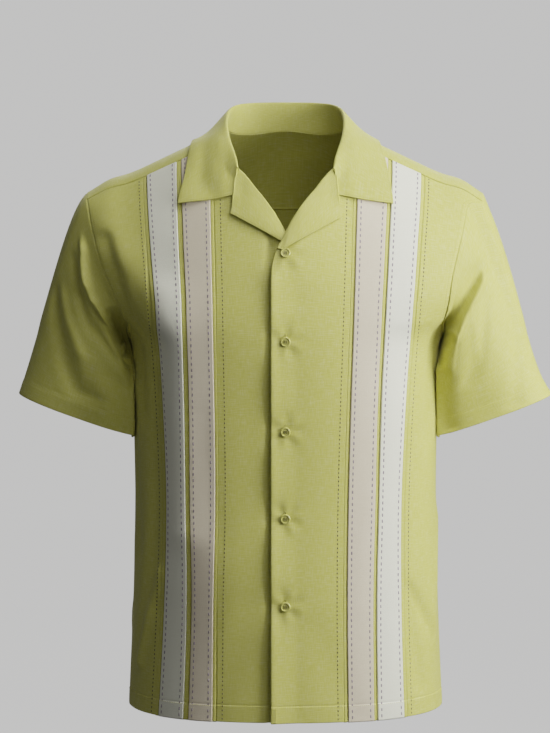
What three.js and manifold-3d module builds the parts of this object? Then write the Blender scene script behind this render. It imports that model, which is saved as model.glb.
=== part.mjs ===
// Bowling shirt in the worn form of a general figure with hanging arms: cloth walls only, hollow inside.
// Millimetres, +Z up, +X to the wearer's left, the front faces -Y.
// The origin is the middle of the neck opening, level with the points where neck and shoulders meet.
import * as THREE from 'three';
import Module from 'manifold-3d';

const wasm = await Module();
wasm.setup();

// ---------------------------------------------------------------- sizes
const CLOTH = 1.2;
const DOUBLE_CLOTH = 1.8;
const BAND_CLOTH = 1.0;
const SEAM_GAP = 0.3;
const SQUARENESS = 2.3;
const BODY_MIDDLE_Y = 2;
const SHOULDER_ROUNDING = 30;
const SHOULDER_HALF = 240;
const SHOULDER_CAP = { rise: 0.05, x: 214, reach: 20 };
const GIRTH_RADIUS = 165;

const FRONT_SEAM_LEVEL = 12.3;
const RIDGE_LEVEL = 15;
const UNDERARM_LEVEL = 4;
const BACK_YOKE_Z = -95;
const FRONT_OVERLAP = 16.5;

const BUTTON_RADIUS = 6;
const BUTTON_HEIGHT = 2.8;
const BUTTON_HEIGHTS = [-141, -243, -349.5, -453.5, -558.5];
const BUTTON_X = -0.6;
const BUTTON_HOLE_RADIUS = 0.7;
const BUTTON_HOLE_SPACING = 1.25;

const SLEEVE_STEPS = [0, 0.03, 0.11, 0.24, 0.39, 0.54, 0.7, 0.86, 1];
const CUFF = { x: 257.8, y: 5, z: -342.3, width: 145, depth: 98, tilt: 20 };
// How each sleeve leaves the armhole (0 along the arm, 1 straight off the shoulder) and meets the cuff.
const SLEEVE_FLOW = {
  left: { leaveOut: 0.12, leaveReach: 1.1, arriveTilt: 40, arriveReach: 0.5 },
  right: { leaveOut: 0.9, leaveReach: 0.36, arriveTilt: 19, arriveReach: 1.1 },
};
const SLEEVE_CLEARANCE = 1.3;

// Rings of the body from the hem (row 0) up over the chest to the shoulder ridge (last row).
// z: height at the centre line. fallFront, fallBack: how far the ring drops by the shoulder tip.
// half: half width of the whole ring. front, back: depth before and behind the middle.
// armFront, armBack: distance from the centre line at which the side seam or the armhole ends the ring.
const BODY = [
  { z: -697, fallFront: 0, fallBack: 0, half: 191, front: 134, back: 128, armFront: 191, armBack: 191 },
  { z: -600, fallFront: 0, fallBack: 0, half: 187, front: 132, back: 124, armFront: 187, armBack: 187 },
  { z: -450, fallFront: 0, fallBack: 0, half: 184.5, front: 131, back: 118, armFront: 184.5, armBack: 184.5 },
  { z: -330, fallFront: 0, fallBack: 0, half: 185.5, front: 137, back: 121, armFront: 185.5, armBack: 185.5 },
  { z: -252, fallFront: 0, fallBack: 0, half: 188, front: 140, back: 124, armFront: 188, armBack: 188 },
  { z: -215, fallFront: 8, fallBack: 6, half: 210, front: 138, back: 124, armFront: 194.1, armBack: 196.6 },
  { z: -180, fallFront: 18, fallBack: 12, half: 230, front: 132, back: 123, armFront: 205.5, armBack: 210.2 },
  { z: -140, fallFront: 33, fallBack: 18, half: 241, front: 122, back: 120, armFront: 215.3, armBack: 220 },
  { z: -100, fallFront: 50, fallBack: 26, half: 249, front: 108, back: 113, armFront: 222.2, armBack: 226.6 },
  { z: -64, fallFront: 68, fallBack: 46, half: 256, front: 92, back: 101, armFront: 227.1, armBack: 231 },
  { z: -33, fallFront: 83, fallBack: 68, half: 264.5, front: 76, back: 84, armFront: 230.5, armBack: 233.8 },
  { z: -5, fallFront: 94, fallBack: 84, half: 277, front: 59, back: 64, armFront: 233.8, armBack: 235.6 },
  { z: 12, fallFront: 99.5, fallBack: 94, half: 300, front: 44, back: 46, armFront: 236.7, armBack: 237.3 },
  { z: 22, fallFront: 102, fallBack: 100, half: 325, front: 29.5, back: 30, armFront: 238.4, armBack: 238.7 },
  { z: 26.8, fallFront: 103, fallBack: 102.5, half: 337, front: 15, back: 15, armFront: 239.6, armBack: 239.7 },
  { z: 28.3, fallFront: 103, fallBack: 103, half: 340, front: 0, back: 0, armFront: 240, armBack: 240 },
];

// Largest folds of the body. A fold runs between two places given by turn round the body in degrees
// (0 at the centre front, positive to the wearer's left) and height; depth is positive for a ridge.
const BODY_FOLDS = [
  { turn1: -74, z1: -175, turn2: -66, z2: -330, width: 16, depth: -4 },
  { turn1: -50, z1: -300, turn2: -52, z2: -560, width: 17, depth: -4.5 },
  { turn1: -66, z1: -520, turn2: -86, z2: -640, width: 18, depth: 3.5 },
  { turn1: 72, z1: -190, turn2: 64, z2: -360, width: 17, depth: -3.5 },
  { turn1: 56, z1: -420, turn2: 60, z2: -640, width: 20, depth: -3 },
  { turn1: 84, z1: -470, turn2: 70, z2: -600, width: 18, depth: 3 },
  { turn1: -122, z1: -260, turn2: -134, z2: -560, width: 22, depth: -5 },
  { turn1: 124, z1: -250, turn2: 138, z2: -590, width: 24, depth: -5.5 },
  { turn1: 156, z1: -330, turn2: 150, z2: -640, width: 22, depth: 4 },
  { turn1: -158, z1: -360, turn2: -152, z2: -650, width: 24, depth: 4 },
  { turn1: 104, z1: -300, turn2: 102, z2: -560, width: 18, depth: 3 },
  { turn1: -104, z1: -330, turn2: -100, z2: -600, width: 18, depth: 3.5 },
];

// Edges of the bands on each front: distance from the centre line at heights on the front.
// beigeIn, beigeOut, whiteIn, whiteOut run outward in that order.
const BAND_LINES = {
  left: [
    { z: -697, beigeIn: 74.5, beigeOut: 105.5, whiteIn: 109.8, whiteOut: 142 },
    { z: -556, beigeIn: 73, beigeOut: 104.1, whiteIn: 108.3, whiteOut: 138.1 },
    { z: -436, beigeIn: 73.9, beigeOut: 106.2, whiteIn: 110.4, whiteOut: 137.8 },
    { z: -316, beigeIn: 76.6, beigeOut: 108.7, whiteIn: 112.9, whiteOut: 142.6 },
    { z: -196, beigeIn: 80.5, beigeOut: 113.6, whiteIn: 118.4, whiteOut: 150.7 },
    { z: -126, beigeIn: 83.1, beigeOut: 117.6, whiteIn: 122.4, whiteOut: 156 },
    { z: -60, beigeIn: 86, beigeOut: 121.5, whiteIn: 126.5, whiteOut: 161 },
    { z: 0, beigeIn: 88, beigeOut: 124, whiteIn: 129, whiteOut: 164 },
  ],
  right: [
    { z: -697, beigeIn: 87.5, beigeOut: 116, whiteIn: 122.5, whiteOut: 152.3 },
    { z: -556, beigeIn: 86.1, beigeOut: 111.9, whiteIn: 118, whiteOut: 144.9 },
    { z: -436, beigeIn: 83.5, beigeOut: 113.4, whiteIn: 118.9, whiteOut: 141.6 },
    { z: -316, beigeIn: 84.3, beigeOut: 114.1, whiteIn: 120.1, whiteOut: 145.7 },
    { z: -196, beigeIn: 86.4, beigeOut: 117.2, whiteIn: 123.1, whiteOut: 153.7 },
    { z: -126, beigeIn: 88.5, beigeOut: 121.2, whiteIn: 127.2, whiteOut: 160.3 },
    { z: -60, beigeIn: 90.5, beigeOut: 124, whiteIn: 130, whiteOut: 165 },
    { z: 0, beigeIn: 92, beigeOut: 126, whiteIn: 132, whiteOut: 168 },
  ],
};
const TUCK_WIDTH = 5;

// Free edge of a front from below the first button up along the turned-back fold to the gorge.
// level: height up the body rings. x: distance past the centre line, negative beyond it.
const ROLL_LINE = [
  { level: 6.1, x: -16.5 },
  { level: 6.6, x: -15.6 },
  { level: 7.0, x: -11.5 },
  { level: 7.35, x: -4 },
  { level: 7.7, x: 2.8 },
  { level: 8.1, x: 11.5 },
  { level: 8.6, x: 23 },
  { level: 9.1, x: 35 },
  { level: 9.6, x: 45 },
  { level: 10.17, x: 56.5 },
];

// Half of the collar, from the gorge at the front (row 0) to the centre back (last row).
// neck: neck seam in plan. fold: top of the roll. edge: outer edge in plan, lying on the shirt.
const COLLAR = [
  { neckX: 56.5, neckY: -74.5, foldX: 57.5, foldY: -77.0, foldZ: -40.5, edgeX: 126.3, edgeY: -79.0 },
  { neckX: 63.5, neckY: -62.0, foldX: 61.0, foldY: -66.5, foldZ: -28.5, edgeX: 122.8, edgeY: -69.0 },
  { neckX: 69.5, neckY: -48.0, foldX: 65.5, foldY: -52.0, foldZ: -15.0, edgeX: 118.6, edgeY: -56.0 },
  { neckX: 73.0, neckY: -34.0, foldX: 69.5, foldY: -37.0, foldZ: -3.5, edgeX: 115.6, edgeY: -42.0 },
  { neckX: 75.4, neckY: -17.0, foldX: 71.5, foldY: -19.0, foldZ: 8.5, edgeX: 112.6, edgeY: -22.0 },
  { neckX: 76.0, neckY: 2.0, foldX: 71.5, foldY: 1.0, foldZ: 19.5, edgeX: 110.0, edgeY: 2.0 },
  { neckX: 73.0, neckY: 22.0, foldX: 68.5, foldY: 22.0, foldZ: 28.0, edgeX: 105, edgeY: 27.0 },
  { neckX: 63.0, neckY: 41.0, foldX: 59.5, foldY: 42.0, foldZ: 33.0, edgeX: 93.0, edgeY: 49.0 },
  { neckX: 45.0, neckY: 53.0, foldX: 43.0, foldY: 55.0, foldZ: 35.0, edgeX: 68.0, edgeY: 65.0 },
  { neckX: 24.0, neckY: 58.5, foldX: 23.0, foldY: 60.5, foldZ: 35.8, edgeX: 36.0, edgeY: 73.5 },
  { neckX: 0.0, neckY: 60.0, foldX: 0.0, foldY: 62.0, foldZ: 36.0, edgeX: 0.0, edgeY: 76.0 },
];
const COLLAR_STATIONS = 22;
const COLLAR_FALL_STEPS = 6;
const COLLAR_FOLD_RADIUS = 2.6;
const NOTCH = { x: 60.3, level: 9.11 };
const NOTCH_SHARE = 1 / 3;
const COLLAR_TIP = { x: 126.3, level: 9.43 };
const COLLAR_LIFT_LOW = 0.8;
const COLLAR_LIFT_HIGH = 2.7;

// Turned-back front: lower edge from the tip toward the first button.
const LAPEL_EDGE = [
  { x: 64.3, level: 8.4 },
  { x: 44, level: 7.86 },
  { x: 20.5, level: 7.44 },
  { x: 1.8, level: 7.2 },
  { x: -4.5, level: 7.18 },
];
const LAPEL_ROWS = 8;
const LAPEL_STEPS = 4;
const LAPEL_LIFT = 0.5;

// Largest folds of the sleeves: share round the sleeve from the shoulder tip over the front to the underarm
// and the back, step down the sleeve from the armhole to the cuff, reach and depth.
const SLEEVE_FOLDS = {
  right: [
    { round1: 0.1, down1: 0.25, round2: 0.33, down2: 0.62, width: 15, depth: 5 },
    { round1: 0.06, down1: 0.4, round2: 0.15, down2: 0.95, width: 20, depth: -6 },
    { round1: 0.3, down1: 0.2, round2: 0.4, down2: 0.5, width: 14, depth: -4 },
    { round1: 0.62, down1: 0.3, round2: 0.8, down2: 0.75, width: 22, depth: -5 },
    { round1: 0.9, down1: 0.2, round2: 0.88, down2: 0.8, width: 20, depth: 3 },
  ],
  left: [
    { round1: 0.26, down1: 0.15, round2: 0.36, down2: 0.75, width: 15, depth: -5 },
    { round1: 0.16, down1: 0.3, round2: 0.24, down2: 0.9, width: 20, depth: 3.5 },
    { round1: 0.6, down1: 0.25, round2: 0.76, down2: 0.8, width: 22, depth: -5 },
    { round1: 0.88, down1: 0.25, round2: 0.9, down2: 0.85, width: 20, depth: 3 },
  ],
};

const LIME = 0xb3b45f;
const LIME_LIGHT = 0xbfc06e;
const WHITE = 0xe6e6e0;
const BEIGE = 0xcdc4b6;
const BUTTON_GREEN = 0xb4b56a;
const DEG = Math.PI / 180;

// ---------------------------------------------------------------- small tools
const lerp = (a, b, t) => a + (b - a) * t;
const clamp = (value, low, high) => Math.min(Math.max(value, low), high);

function smooth(low, high, value) {
  const t = clamp((value - low) / (high - low), 0, 1);
  return t * t * (3 - 2 * t);
}

// Smooth curve through four neighbouring values.
function spline(before, from, to, after, t) {
  const linear = to - before;
  const square = 2 * before - 5 * from + 4 * to - after;
  const cube = -before + 3 * from - 3 * to + after;
  return 0.5 * (2 * from + linear * t + square * t * t + cube * t * t * t);
}

// Row of a table at a place between its rows; ends are carried on straight.
function tableRow(table, place, names) {
  const last = table.length - 1;
  const index = clamp(Math.floor(place), 0, last - 1);
  const t = place - index;
  const result = {};
  for (const name of names) {
    const from = table[index][name];
    const to = table[index + 1][name];
    const before = index > 0 ? table[index - 1][name] : 2 * from - to;
    const after = index + 2 <= last ? table[index + 2][name] : 2 * to - from;
    result[name] = spline(before, from, to, after, t);
  }
  return result;
}

// Value of one column where another column, which rises down the table, has a given value.
function lookUp(table, key, value, name) {
  const rising = table[table.length - 1][key] > table[0][key];
  let index = 0;
  while (index < table.length - 2 && (rising ? value > table[index + 1][key] : value < table[index + 1][key])) {
    index += 1;
  }
  const t = clamp((value - table[index][key]) / (table[index + 1][key] - table[index][key]), 0, 1);
  return tableRow(table, index + t, [name])[name];
}

// ---------------------------------------------------------------- the body's form
const RING_NAMES = Object.keys(BODY[0]);

function ringRow(index) {
  const last = BODY.length - 1;
  if (index < 0) {
    const row = {};
    for (const name of RING_NAMES) {
      row[name] = 2 * BODY[0][name] - BODY[-index][name];
    }
    return row;
  }
  if (index > last) {
    const row = { ...BODY[2 * last - index] };
    row.front = -row.front;
    row.back = -row.back;
    return row;
  }
  return BODY[index];
}

function ringAt(level) {
  const index = clamp(Math.floor(level), 0, BODY.length - 1);
  const t = level - index;
  const rows = [ringRow(index - 1), ringRow(index), ringRow(index + 1), ringRow(index + 2)];
  const ring = {};
  for (const name of RING_NAMES) {
    ring[name] = spline(rows[0][name], rows[1][name], rows[2][name], rows[3][name], t);
  }
  return ring;
}

function shoulderShare(x) {
  const rounding = SHOULDER_ROUNDING;
  const top = Math.hypot(x, rounding) - rounding;
  const cap = SHOULDER_CAP.rise * Math.exp(-(((Math.abs(x) - SHOULDER_CAP.x) / SHOULDER_CAP.reach) ** 2));
  return top / (Math.hypot(SHOULDER_HALF, rounding) - rounding) - cap;
}

function power(value, exponent) {
  return Math.sign(value) * Math.abs(value) ** exponent;
}

function plainPoint(turn, level) {
  const ring = ringAt(level);
  const across = Math.sin(turn);
  const ahead = Math.cos(turn);
  const x = ring.half * power(across, 2 / SQUARENESS);
  const depth = ahead >= 0 ? ring.front : ring.back;
  const y = BODY_MIDDLE_Y - depth * power(ahead, 2 / SQUARENESS);
  const fall = lerp(ring.fallFront, ring.fallBack, 0.5 - 0.5 * ahead);
  return new THREE.Vector3(x, y, ring.z - fall * shoulderShare(x));
}

function plainNormal(turn, level) {
  const step = 0.004;
  const round = plainPoint(turn + step, level).sub(plainPoint(turn - step, level));
  const up = plainPoint(turn, level + step).sub(plainPoint(turn, level - step));
  return round.cross(up).normalize();
}

// How far a place lies from a straight fold between two places.
function foldReach(a, b, a1, b1, a2, b2) {
  const lengthSquared = (a2 - a1) ** 2 + (b2 - b1) ** 2;
  const t = clamp(((a - a1) * (a2 - a1) + (b - b1) * (b2 - b1)) / lengthSquared, 0, 1);
  return Math.hypot(a - lerp(a1, a2, t), b - lerp(b1, b2, t));
}

function bodyFold(turn, z) {
  const scale = GIRTH_RADIUS;
  const round = Math.atan2(Math.sin(turn), Math.cos(turn)) * scale;
  let height = 0;
  for (const fold of BODY_FOLDS) {
    const reach = foldReach(round, z, fold.turn1 * DEG * scale, fold.z1, fold.turn2 * DEG * scale, fold.z2);
    height += fold.depth * Math.exp(-((reach / fold.width) ** 2));
  }
  return height;
}

// A place on the shirt's outer face, with the outward direction there.
function shirtAt(turn, level) {
  const point = plainPoint(turn, level);
  const normal = plainNormal(turn, level);
  point.addScaledVector(normal, bodyFold(turn, point.z));
  return { point, normal };
}

// Turn at which the side seam or the armhole ends a ring, before or behind.
function armTurn(level, name) {
  const ring = ringAt(level);
  const share = level <= UNDERARM_LEVEL ? 1 : Math.min(1, ring[name] / ring.half);
  return Math.asin(share ** (SQUARENESS / 2));
}

function turnAcross(x, level) {
  const share = Math.min(1, Math.abs(x) / ringAt(level).half);
  return Math.sign(x) * Math.asin(share ** (SQUARENESS / 2));
}

// The same face reached by distance from the centre line and a level that runs on over the ridge to the back.
function shirtAcross(x, overLevel) {
  if (overLevel <= RIDGE_LEVEL) {
    return shirtAt(turnAcross(x, overLevel), overLevel);
  }
  const level = 2 * RIDGE_LEVEL - overLevel;
  const side = x < 0 ? -1 : 1;
  return shirtAt(side * Math.PI - turnAcross(x, level), level);
}

// Level, over the ridge, at which the face has a given depth at a given distance from the centre line.
function levelAtDepth(x, y) {
  let low = 8;
  let high = 21;
  for (let i = 0; i < 40; i += 1) {
    const middle = (low + high) / 2;
    if (shirtAcross(x, middle).point.y < y) {
      low = middle;
    } else {
      high = middle;
    }
  }
  return (low + high) / 2;
}

function raised(place, height) {
  return place.point.clone().addScaledVector(place.normal, height);
}

// ---------------------------------------------------------------- making closed walls
function meshFrom(name, positions, indices, colour, roughness) {
  let volume = 0;
  for (let i = 0; i < indices.length; i += 3) {
    const [a, b, c] = [positions[indices[i]], positions[indices[i + 1]], positions[indices[i + 2]]];
    volume += a.dot(b.clone().cross(c)) / 6;
  }
  const faces = [];
  for (let i = 0; i < indices.length; i += 3) {
    if (volume > 0) {
      faces.push(indices[i], indices[i + 1], indices[i + 2]);
    } else {
      faces.push(indices[i], indices[i + 2], indices[i + 1]);
    }
  }
  const geometry = new THREE.BufferGeometry();
  geometry.setAttribute('position', new THREE.Float32BufferAttribute(positions.flatMap((p) => p.toArray()), 3));
  geometry.setIndex(faces);
  geometry.computeVertexNormals();
  const material = new THREE.MeshStandardMaterial({ color: colour, roughness, metalness: 0 });
  material.name = name + '_cloth';
  const mesh = new THREE.Mesh(geometry, material);
  mesh.name = name;
  return mesh;
}

// A wall between an outer and an inner grid of points; a closed one runs round as a tube.
function wall(name, outer, inner, closed, colour, roughness) {
  const rows = outer.length;
  const columns = outer[0].length;
  const positions = [...outer.flat(), ...inner.flat()];
  const shift = rows * columns;
  const at = (row, column) => row * columns + (column % columns);
  const indices = [];
  const quad = (a, b, c, d) => indices.push(a, b, c, a, c, d);
  const lastColumn = closed ? columns : columns - 1;
  for (let row = 0; row < rows - 1; row += 1) {
    for (let column = 0; column < lastColumn; column += 1) {
      const corners = [at(row, column), at(row, column + 1), at(row + 1, column + 1), at(row + 1, column)];
      quad(corners[0], corners[1], corners[2], corners[3]);
      indices.push(corners[0] + shift, corners[2] + shift, corners[1] + shift);
      indices.push(corners[0] + shift, corners[3] + shift, corners[2] + shift);
    }
  }
  const border = [];
  for (let column = 0; column < lastColumn; column += 1) {
    border.push([at(0, column + 1), at(0, column)]);
    border.push([at(rows - 1, column), at(rows - 1, column + 1)]);
  }
  if (!closed) {
    for (let row = 0; row < rows - 1; row += 1) {
      border.push([at(row, 0), at(row + 1, 0)]);
      border.push([at(row + 1, columns - 1), at(row, columns - 1)]);
    }
  }
  for (const [from, to] of border) {
    quad(from, to, to + shift, from + shift);
  }
  return meshFrom(name, positions, indices, colour, roughness);
}

// Wall of a grid of places on the shirt, between two heights above its outer face.
function shirtWall(name, places, low, high, colour) {
  const outer = places.map((row) => row.map((place) => raised(place, high + (place.lift ?? 0))));
  const inner = places.map((row) => row.map((place) => raised(place, low + (place.lift ?? 0))));
  return wall(name, outer, inner, false, colour, 0.85);
}

// ---------------------------------------------------------------- levels of the rows
const LOWER_LEVELS = [0, 0.5, 1, 1.4, 1.8, 2.2, 2.65, 3.1, 3.55, UNDERARM_LEVEL];
const CHEST_LEVELS = [4.45, 4.9, 5.4, 6.1, 6.6, 7.0, 7.35, 7.7, 8.1, 8.6, 9.1, 9.6, 10.17, 11.1, FRONT_SEAM_LEVEL];
const FRONT_LEVELS = [...LOWER_LEVELS, ...CHEST_LEVELS];
const BACK_SHARES = [0.06, 0.125, 0.2, 0.32, 0.45, 0.58, 0.72, 0.86, 1];

// Place on the neck seam, counted in rows of the collar table from the gorge to the centre back.
function neckPlan(station) {
  const row = tableRow(COLLAR, station, ['neckX', 'neckY']);
  return { x: row.neckX, level: levelAtDepth(row.neckX, row.neckY) };
}

// Where the neck seam crosses a level of the front.
function neckXAtLevel(level) {
  let low = 0;
  let high = 5;
  for (let i = 0; i < 40; i += 1) {
    const middle = (low + high) / 2;
    if (neckPlan(middle).level < level) {
      low = middle;
    } else {
      high = middle;
    }
  }
  return { x: neckPlan(low).x, station: low };
}

const SEAM_STATION = neckXAtLevel(FRONT_SEAM_LEVEL).station;

function frontEdgeX(level) {
  if (level <= ROLL_LINE[0].level) {
    return -FRONT_OVERLAP;
  }
  if (level <= 10.17) {
    return lookUp(ROLL_LINE, 'level', level, 'x');
  }
  return neckXAtLevel(level).x;
}

function bandLines(side, level) {
  const table = side > 0 ? BAND_LINES.left : BAND_LINES.right;
  const z = ringAt(level).z - ringAt(level).fallFront * shoulderShare(120);
  const lines = {};
  for (const name of ['beigeIn', 'beigeOut', 'whiteIn', 'whiteOut']) {
    lines[name] = lookUp(table, 'z', z, name);
  }
  return lines;
}

// The wearer's left front laps over the right one; it stands off to clear the layers below.
function overlapLift(side, x, level) {
  if (side < 0) {
    return 0;
  }
  const layers = CLOTH + SEAM_GAP + 0.1;
  const lapel = (DOUBLE_CLOTH + 2 * LAPEL_LIFT) * smooth(5.4, 6.6, level) * (1 - smooth(8.1, 9.1, level));
  return (layers + lapel) * (1 - clamp((x - FRONT_OVERLAP) / 60, 0, 1));
}

const UNDER_SIDE_SHARES = [0.3, 0.62, 1];

// ---------------------------------------------------------------- front, bands and tucks
// Grid of places of one front, from its free edge to the side seam or armhole, row by row.
function frontPlaces(side) {
  return FRONT_LEVELS.map((level) => {
    const edge = frontEdgeX(level);
    const lines = bandLines(side, level);
    const tuckIn = lines.beigeIn - TUCK_WIDTH;
    const tuckOut = lines.whiteOut + TUCK_WIDTH;
    const across = [edge];
    for (const share of [0.3, 0.55, 0.8]) {
      across.push(lerp(edge, tuckIn, share));
    }
    across.push(tuckIn, lines.beigeIn, lines.beigeOut);
    across.push(lines.whiteIn, lerp(lines.whiteIn, lines.whiteOut, 0.5), lines.whiteOut, tuckOut);
    const row = across.map((x) => {
      const place = shirtAcross(side * x, level);
      place.lift = overlapLift(side, x, level);
      return place;
    });
    const fromTurn = turnAcross(tuckOut, level);
    const toTurn = armTurn(level, 'armFront');
    for (const share of UNDER_SIDE_SHARES) {
      row.push({ ...shirtAt(side * lerp(fromTurn, toTurn, share), level), lift: 0 });
    }
    return row;
  });
}

const BAND_COLUMNS = {
  inner_tuck: [4, 5],
  beige_band: [5, 6],
  middle_tuck: [6, 7],
  white_band: [7, 9],
  outer_tuck: [9, 10],
};

// Moves the two edges of a strip a little inward so that neighbouring strips keep clear of one another.
function insetColumns(row, first, last, gap) {
  const strip = row.slice(first, last + 1);
  const blend = (from, to) => {
    const share = gap / from.point.distanceTo(to.point);
    return {
      point: from.point.clone().lerp(to.point, share),
      normal: from.normal.clone().lerp(to.normal, share).normalize(),
      lift: lerp(from.lift ?? 0, to.lift ?? 0, share),
    };
  };
  const start = blend(strip[0], strip[1]);
  const end = blend(strip[strip.length - 1], strip[strip.length - 2]);
  return [start, ...strip.slice(1, -1), end];
}

function insetRows(places, gap) {
  const first = places[0];
  const last = places[places.length - 1];
  const mix = (from, to) => from.map((place, i) => {
    const share = gap / place.point.distanceTo(to[i].point);
    return {
      point: place.point.clone().lerp(to[i].point, share),
      normal: place.normal.clone().lerp(to[i].normal, share).normalize(),
      lift: lerp(place.lift ?? 0, to[i].lift ?? 0, share),
    };
  });
  return [mix(first, places[1]), ...places.slice(1, -1), mix(last, places[places.length - 2])];
}

// Pulls a front back from its side seam by half the gap between pieces.
function trimSide(places) {
  return places.map((row) => {
    const columns = row.length;
    const end = insetColumns(row, columns - 2, columns - 1, SEAM_GAP * 0.6);
    return [...row.slice(0, columns - 1), end[1]];
  });
}

// Pulls a panel back from its top seam in the same way.
function trimTop(places) {
  const last = places.length - 1;
  const pulled = insetRows(places.slice(last - 1), SEAM_GAP * 0.6);
  return [...places.slice(0, last), pulled[1]];
}

const group = new THREE.Group();
group.name = 'bowling_shirt';
const sides = [{ side: 1, word: 'left' }, { side: -1, word: 'right' }];
const fronts = {};
for (const { side, word } of sides) {
  const places = frontPlaces(side);
  fronts[word] = places;
  const panel = trimTop(trimSide(places));
  group.add(shirtWall('front_' + word, panel, -CLOTH, 0, LIME));
  const tops = insetRows(places, 1.2);
  for (const [kind, [first, last]] of Object.entries(BAND_COLUMNS)) {
    const strip = tops.map((row) => insetColumns(row, first, last, SEAM_GAP * 0.6));
    const colour = { white_band: WHITE, beige_band: BEIGE }[kind] ?? LIME_LIGHT;
    const low = SEAM_GAP;
    group.add(shirtWall(kind + '_' + word, strip, low, low + BAND_CLOTH, colour));
  }
}

// ---------------------------------------------------------------- back
const BACK_SHARES_ACROSS = [1, 0.86, 0.7, 0.54, 0.38, 0.22, 0.08];
const BACK_COLUMNS = [...BACK_SHARES_ACROSS, ...BACK_SHARES_ACROSS.map((share) => -share).reverse()];

function backPlain(column, level) {
  const side = column < 0 ? -1 : 1;
  return side * Math.PI - column * armTurn(level, 'armBack');
}

function backSeamLevel(column) {
  let low = 6;
  let high = 13;
  for (let i = 0; i < 40; i += 1) {
    const middle = (low + high) / 2;
    if (shirtAt(backPlain(column, middle), middle).point.z < BACK_YOKE_Z) {
      low = middle;
    } else {
      high = middle;
    }
  }
  return low;
}

const backSeamLevels = BACK_COLUMNS.map(backSeamLevel);

function backRow(levelOf) {
  return BACK_COLUMNS.map((column, i) => {
    const level = levelOf(i);
    return shirtAt(backPlain(column, level), level);
  });
}

const backPlaces = LOWER_LEVELS.map((level) => backRow(() => level));
for (const share of BACK_SHARES) {
  backPlaces.push(backRow((i) => lerp(UNDERARM_LEVEL, backSeamLevels[i], share)));
}
const backTrimmed = backPlaces.map((row) => insetColumns(row, 0, row.length - 1, SEAM_GAP * 0.6));
group.add(shirtWall('back', trimTop(backTrimmed), -CLOTH, 0, LIME));

// ---------------------------------------------------------------- yoke
// Outer border of the yoke's right-hand half and back seam, as distance from the centre line and level.
const YOKE_ARM_LEVELS = [FRONT_SEAM_LEVEL, 13.5, RIDGE_LEVEL, 16.4, 17.7];
const YOKE_COLUMNS = [0, 5, 7, 10, 11, 12, 13];

function armholeX(overLevel) {
  const over = overLevel > RIDGE_LEVEL;
  const level = over ? 2 * RIDGE_LEVEL - overLevel : overLevel;
  return ringAt(level)[over ? 'armBack' : 'armFront'];
}

function yokeBorder() {
  const border = YOKE_ARM_LEVELS.map((level) => ({ x: armholeX(level), level }));
  for (let i = 0; i < BACK_COLUMNS.length; i += 1) {
    const level = backSeamLevels[i];
    const x = plainPoint(backPlain(BACK_COLUMNS[i], level), level).x;
    border.push({ x, level: 2 * RIDGE_LEVEL - level });
  }
  for (const level of [...YOKE_ARM_LEVELS].reverse()) {
    border.push({ x: -armholeX(level), level });
  }
  return border;
}

function yokePlaces() {
  const border = yokeBorder();
  const count = border.length;
  const centre = COLLAR.length - 1;
  return border.map((outer, i) => {
    const side = i < count / 2 ? 1 : -1;
    const top = fronts[side > 0 ? 'left' : 'right'].at(-1).map((place) => Math.abs(place.point.x));
    const shares = YOKE_COLUMNS.map((column) => (top[column] - top[0]) / (top.at(-1) - top[0]));
    const fromEnd = side > 0 ? i : count - 1 - i;
    const half = (count - 1) / 2;
    const share = fromEnd / half;
    const station = lerp(SEAM_STATION, centre, share ** 1.15);
    const neck = neckPlan(station);
    const row = [];
    for (const t of shares) {
      const x = lerp(side * neck.x, outer.x, t);
      row.push({ ...shirtAcross(x, lerp(neck.level, outer.level, t)), lift: 0 });
    }
    return row;
  });
}

const yokeFull = yokePlaces();
const yokeInset = insetRows(yokeFull, SEAM_GAP * 0.6).map((row) => {
  const last = row.length - 1;
  const end = insetColumns(row, last - 1, last, SEAM_GAP * 0.6);
  return [...row.slice(0, last), end[1]];
});
group.add(shirtWall('yoke', yokeInset, -CLOTH, 0, LIME));

// ---------------------------------------------------------------- sleeves
// Armhole edge from the shoulder ridge down the front, under the arm and up the back.
function armholeLoop(side) {
  const word = side > 0 ? 'left' : 'right';
  const front = fronts[word].slice(LOWER_LEVELS.length - 1).map((row) => row[row.length - 1]).reverse();
  const rows = side > 0 ? yokeFull.slice(0, YOKE_ARM_LEVELS.length + 1) : yokeFull.slice(-YOKE_ARM_LEVELS.length - 1).reverse();
  const yoke = rows.map((row) => row[row.length - 1]);
  const backColumn = side > 0 ? 0 : BACK_COLUMNS.length - 1;
  const back = backPlaces.slice(LOWER_LEVELS.length).map((row) => row[backColumn]);
  const ridge = YOKE_ARM_LEVELS.indexOf(RIDGE_LEVEL);
  const loop = [...yoke.slice(0, ridge + 1).reverse(), ...front.slice(1), ...back, ...yoke.slice(ridge + 1, -1).reverse()];
  return loop;
}

function cuffPoint(side, round) {
  const angle = round * 2 * Math.PI;
  const outward = new THREE.Vector3(side * Math.cos(CUFF.tilt * DEG), 0, Math.sin(CUFF.tilt * DEG));
  const along = (CUFF.width / 2) * power(Math.cos(angle), 0.9);
  const point = new THREE.Vector3(side * CUFF.x, CUFF.y - (CUFF.depth / 2) * power(Math.sin(angle), 0.9), CUFF.z);
  return point.addScaledVector(outward, along);
}

function sleeveFold(side, round, down) {
  const table = side > 0 ? SLEEVE_FOLDS.left : SLEEVE_FOLDS.right;
  const girth = 400;
  const length = 260;
  let height = 0;
  for (const fold of table) {
    const ends = [fold.round1 * girth, fold.down1 * length, fold.round2 * girth, fold.down2 * length];
    const reach = foldReach(round * girth, down * length, ...ends);
    height += fold.depth * Math.exp(-((reach / fold.width) ** 2));
  }
  return height * smooth(0, 0.15, down);
}

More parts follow.
